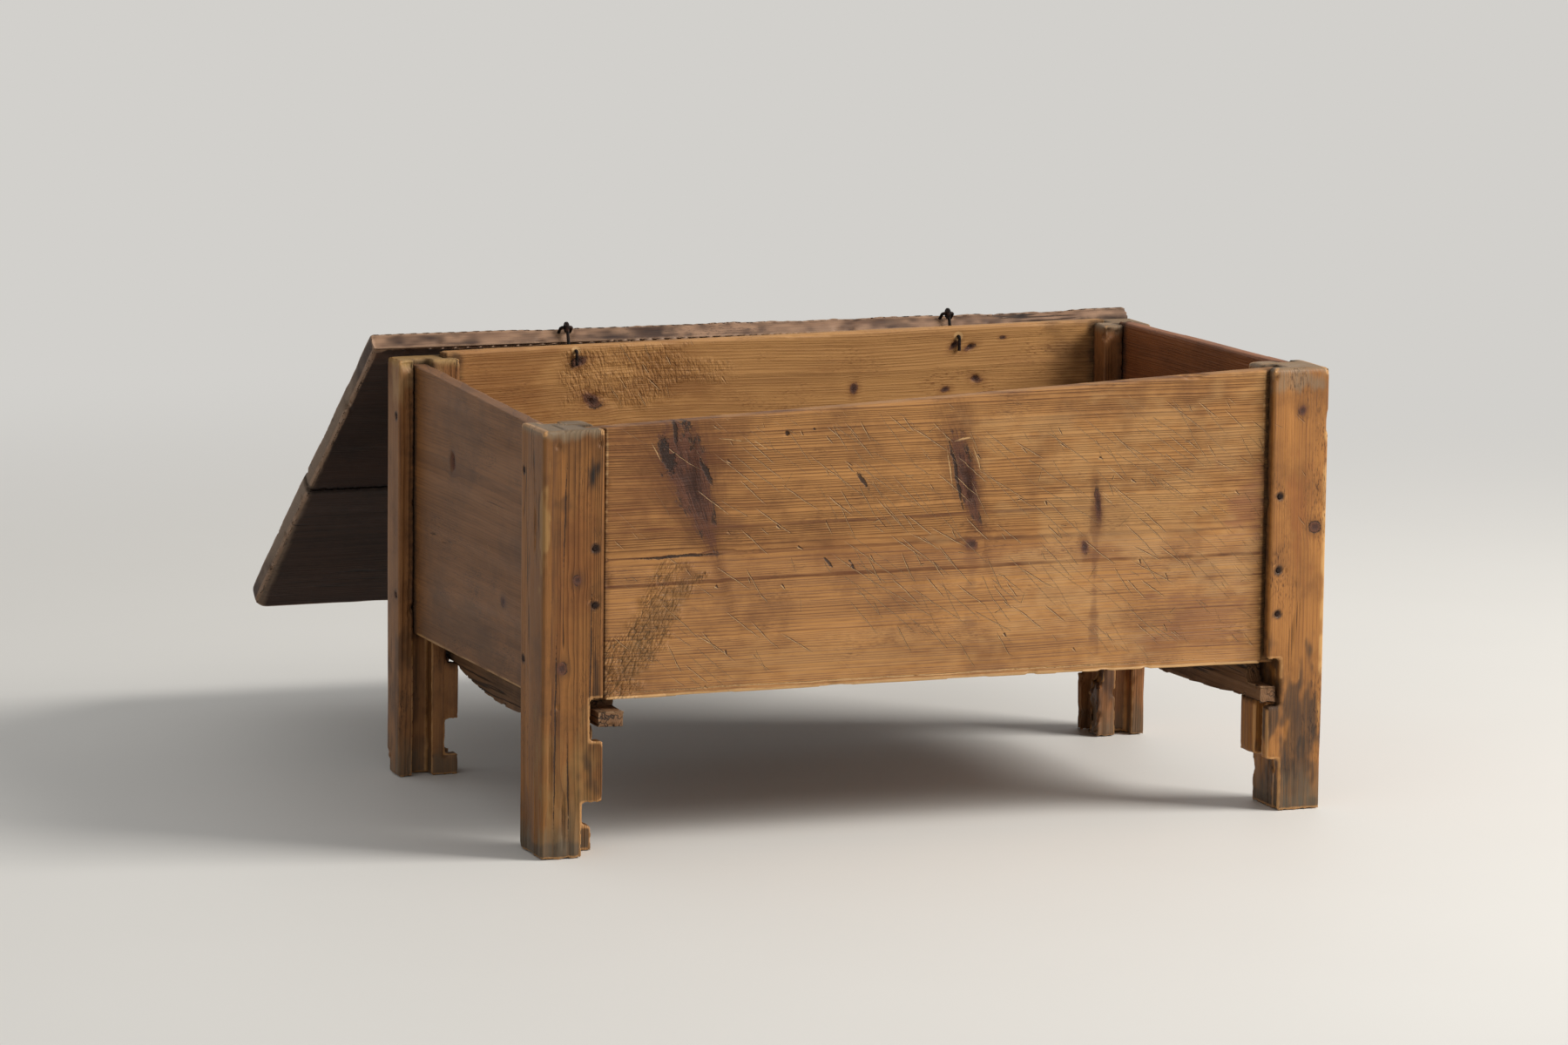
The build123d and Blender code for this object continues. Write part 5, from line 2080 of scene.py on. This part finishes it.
@dataclass
class Studio:
    """A wide pale floor, soft lamps, and the camera."""

    lens: float = 150.0
    sensor: float = 36.0
    eye: Point = (-2.7171, -7.7237, 1.6998)
    yaw: float = radians(21.519)
    pitch: float = radians(8.744)
    roll: float = radians(0.643)
    floor_tone: str = "e6e4df"
    mottle_tone: str = "cfccc6"
    floor_roughness: float = 0.6
    floor_rings: tuple[float, ...] = (3.0, 9.0, 27.0, 80.0)
    floor_sides: int = 96
    far_tone: str = "d2d0cc"
    far_range: tuple[float, float] = (1.5, 4.2)
    key_power: float = 600.0
    fill_power: float = 8.0
    world_level: float = 0.40
    aim: Point = (0.0, 0.0, 0.3)

    def build(self, shop: Workshop) -> None:
        """Sets up the room, the lamps and the camera.

        Args:
            shop: The workshop.
        """
        self.room()
        self.lamps()
        self.camera(shop)
        bpy.context.scene.view_settings.view_transform = "Standard"

    def room(self) -> None:
        """Makes the floor, a wide disc of rings, and dresses it."""
        sheet = bmesh.new()
        rows = []
        turns = [math.tau * i / self.floor_sides for i in range(self.floor_sides)]
        for radius in self.floor_rings:
            ring = [(radius * math.cos(turn), radius * math.sin(turn), 0.0) for turn in turns]
            rows.append([sheet.verts.new(corner) for corner in ring])
        sheet.faces.new(rows[0])
        for inner, outer in zip(rows, rows[1:]):
            for i in range(self.floor_sides):
                after = (i + 1) % self.floor_sides
                sheet.faces.new((inner[i], outer[i], outer[after], inner[after]))
        mesh = bpy.data.meshes.new("studio_floor")
        sheet.to_mesh(mesh)
        sheet.free()
        placed("studio_floor", mesh)
        mesh.materials.append(self.paper())

    def paper(self) -> Material:
        """The floor's material: pale and faintly mottled, and one even tone far from the chest.

        Returns:
            The material.
        """
        made, graph = Graph.material("studio_paper")
        place = graph.out("ShaderNodeTexCoord", output="Object")
        mottle = graph.noise(place, 3.0, 4.0) * 0.12
        colour = graph.paint(mottle, tone(self.floor_tone), tone(self.mottle_tone))
        inputs = {"Base Color": colour, "Roughness": self.floor_roughness}
        shader = graph.out("ShaderNodeBsdfPrincipled", inputs)
        even = graph.out("ShaderNodeEmission", {"Color": tone(self.far_tone), "Strength": 1.0})
        away = graph.out("ShaderNodeVectorMath", {0: place}, "Value", operation="LENGTH")
        far = graph.step(away, *self.far_range) * graph.seen()
        mix = graph.out("ShaderNodeMixShader", {"Fac": far, 1: shader, 2: even})
        graph.node("ShaderNodeOutputMaterial", {"Surface": mix})
        return made

    def lamps(self) -> None:
        """Hangs a broad key lamp at the right and a weak fill at the left, in a soft world."""
        for name, place, size, power, shade in (
            ("key", (5.4, -3.4, 4.5), 3.4, self.key_power, (1.0, 0.97, 0.93)),
            ("fill", (-3.2, -4.2, 2.2), 2.8, self.fill_power, (0.95, 0.97, 1.0)),
        ):
            lamp = bpy.data.lights.new(name, "AREA")
            lamp.size = size
            lamp.energy = power
            lamp.color = shade
            hung = placed(name, lamp)
            hung.location = place
            hung.rotation_mode = "QUATERNION"
            hung.rotation_quaternion = (Vector(self.aim) - Vector(place)).to_track_quat("-Z", "Y")
        world = bpy.data.worlds.new("studio")
        world.use_nodes = True
        world.node_tree.nodes.clear()
        graph = Graph(world.node_tree)
        light, wall = (
            graph.out("ShaderNodeBackground", {"Color": tone(shade), "Strength": strength})
            for shade, strength in (("ffffff", self.world_level), (self.far_tone, 1.0))
        )
        mix = graph.out("ShaderNodeMixShader", {"Fac": graph.seen(), 1: light, 2: wall})
        graph.node("ShaderNodeOutputWorld", {"Surface": mix})
        bpy.context.scene.world = world

    def camera(self, shop: Workshop) -> None:
        """Stands the camera in front, to the left and a little above.

        Args:
            shop: The workshop.
        """
        lens = bpy.data.cameras.new("camera")
        lens.lens = self.lens
        lens.sensor_width = self.sensor
        lens.clip_end = 60.0
        stand = placed("camera", lens)
        level = math.cos(self.pitch)
        ahead = Vector((math.sin(self.yaw) * level, math.cos(self.yaw) * level, -math.sin(self.pitch)))
        side = Vector((math.cos(self.yaw), -math.sin(self.yaw), 0.0))
        above = side.cross(ahead)
        right = side * math.cos(self.roll) + above * math.sin(self.roll)
        up = above * math.cos(self.roll) - side * math.sin(self.roll)
        turn = Matrix((right, up, -ahead)).transposed().to_4x4()
        stand.matrix_world = Matrix.Translation(Vector(shop.spot(*self.eye))) @ turn
        bpy.context.scene.camera = stand


def main() -> None:
    """Builds the chest's sub-assemblies in order and reports each piece."""
    logging.basicConfig(level=logging.INFO, format="%(name)s: %(message)s")
    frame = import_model()
    shop = Workshop(frame)
    nails = Nails()
    nails.read(shop)
    heads = nails.heads_in(shop)
    Studio().build(shop)
    made = Posts().build(shop, heads)
    made += Sides().build(shop, heads)
    made += Floor().build(shop, heads)
    made += Lid().build(shop)
    made += Ironwork().build(shop)
    made += nails.build(shop)
    LOG.info("%d pieces, %d faces", len(made), sum(len(piece.data.polygons) for piece in made))


if __name__ == "__main__":
    main()
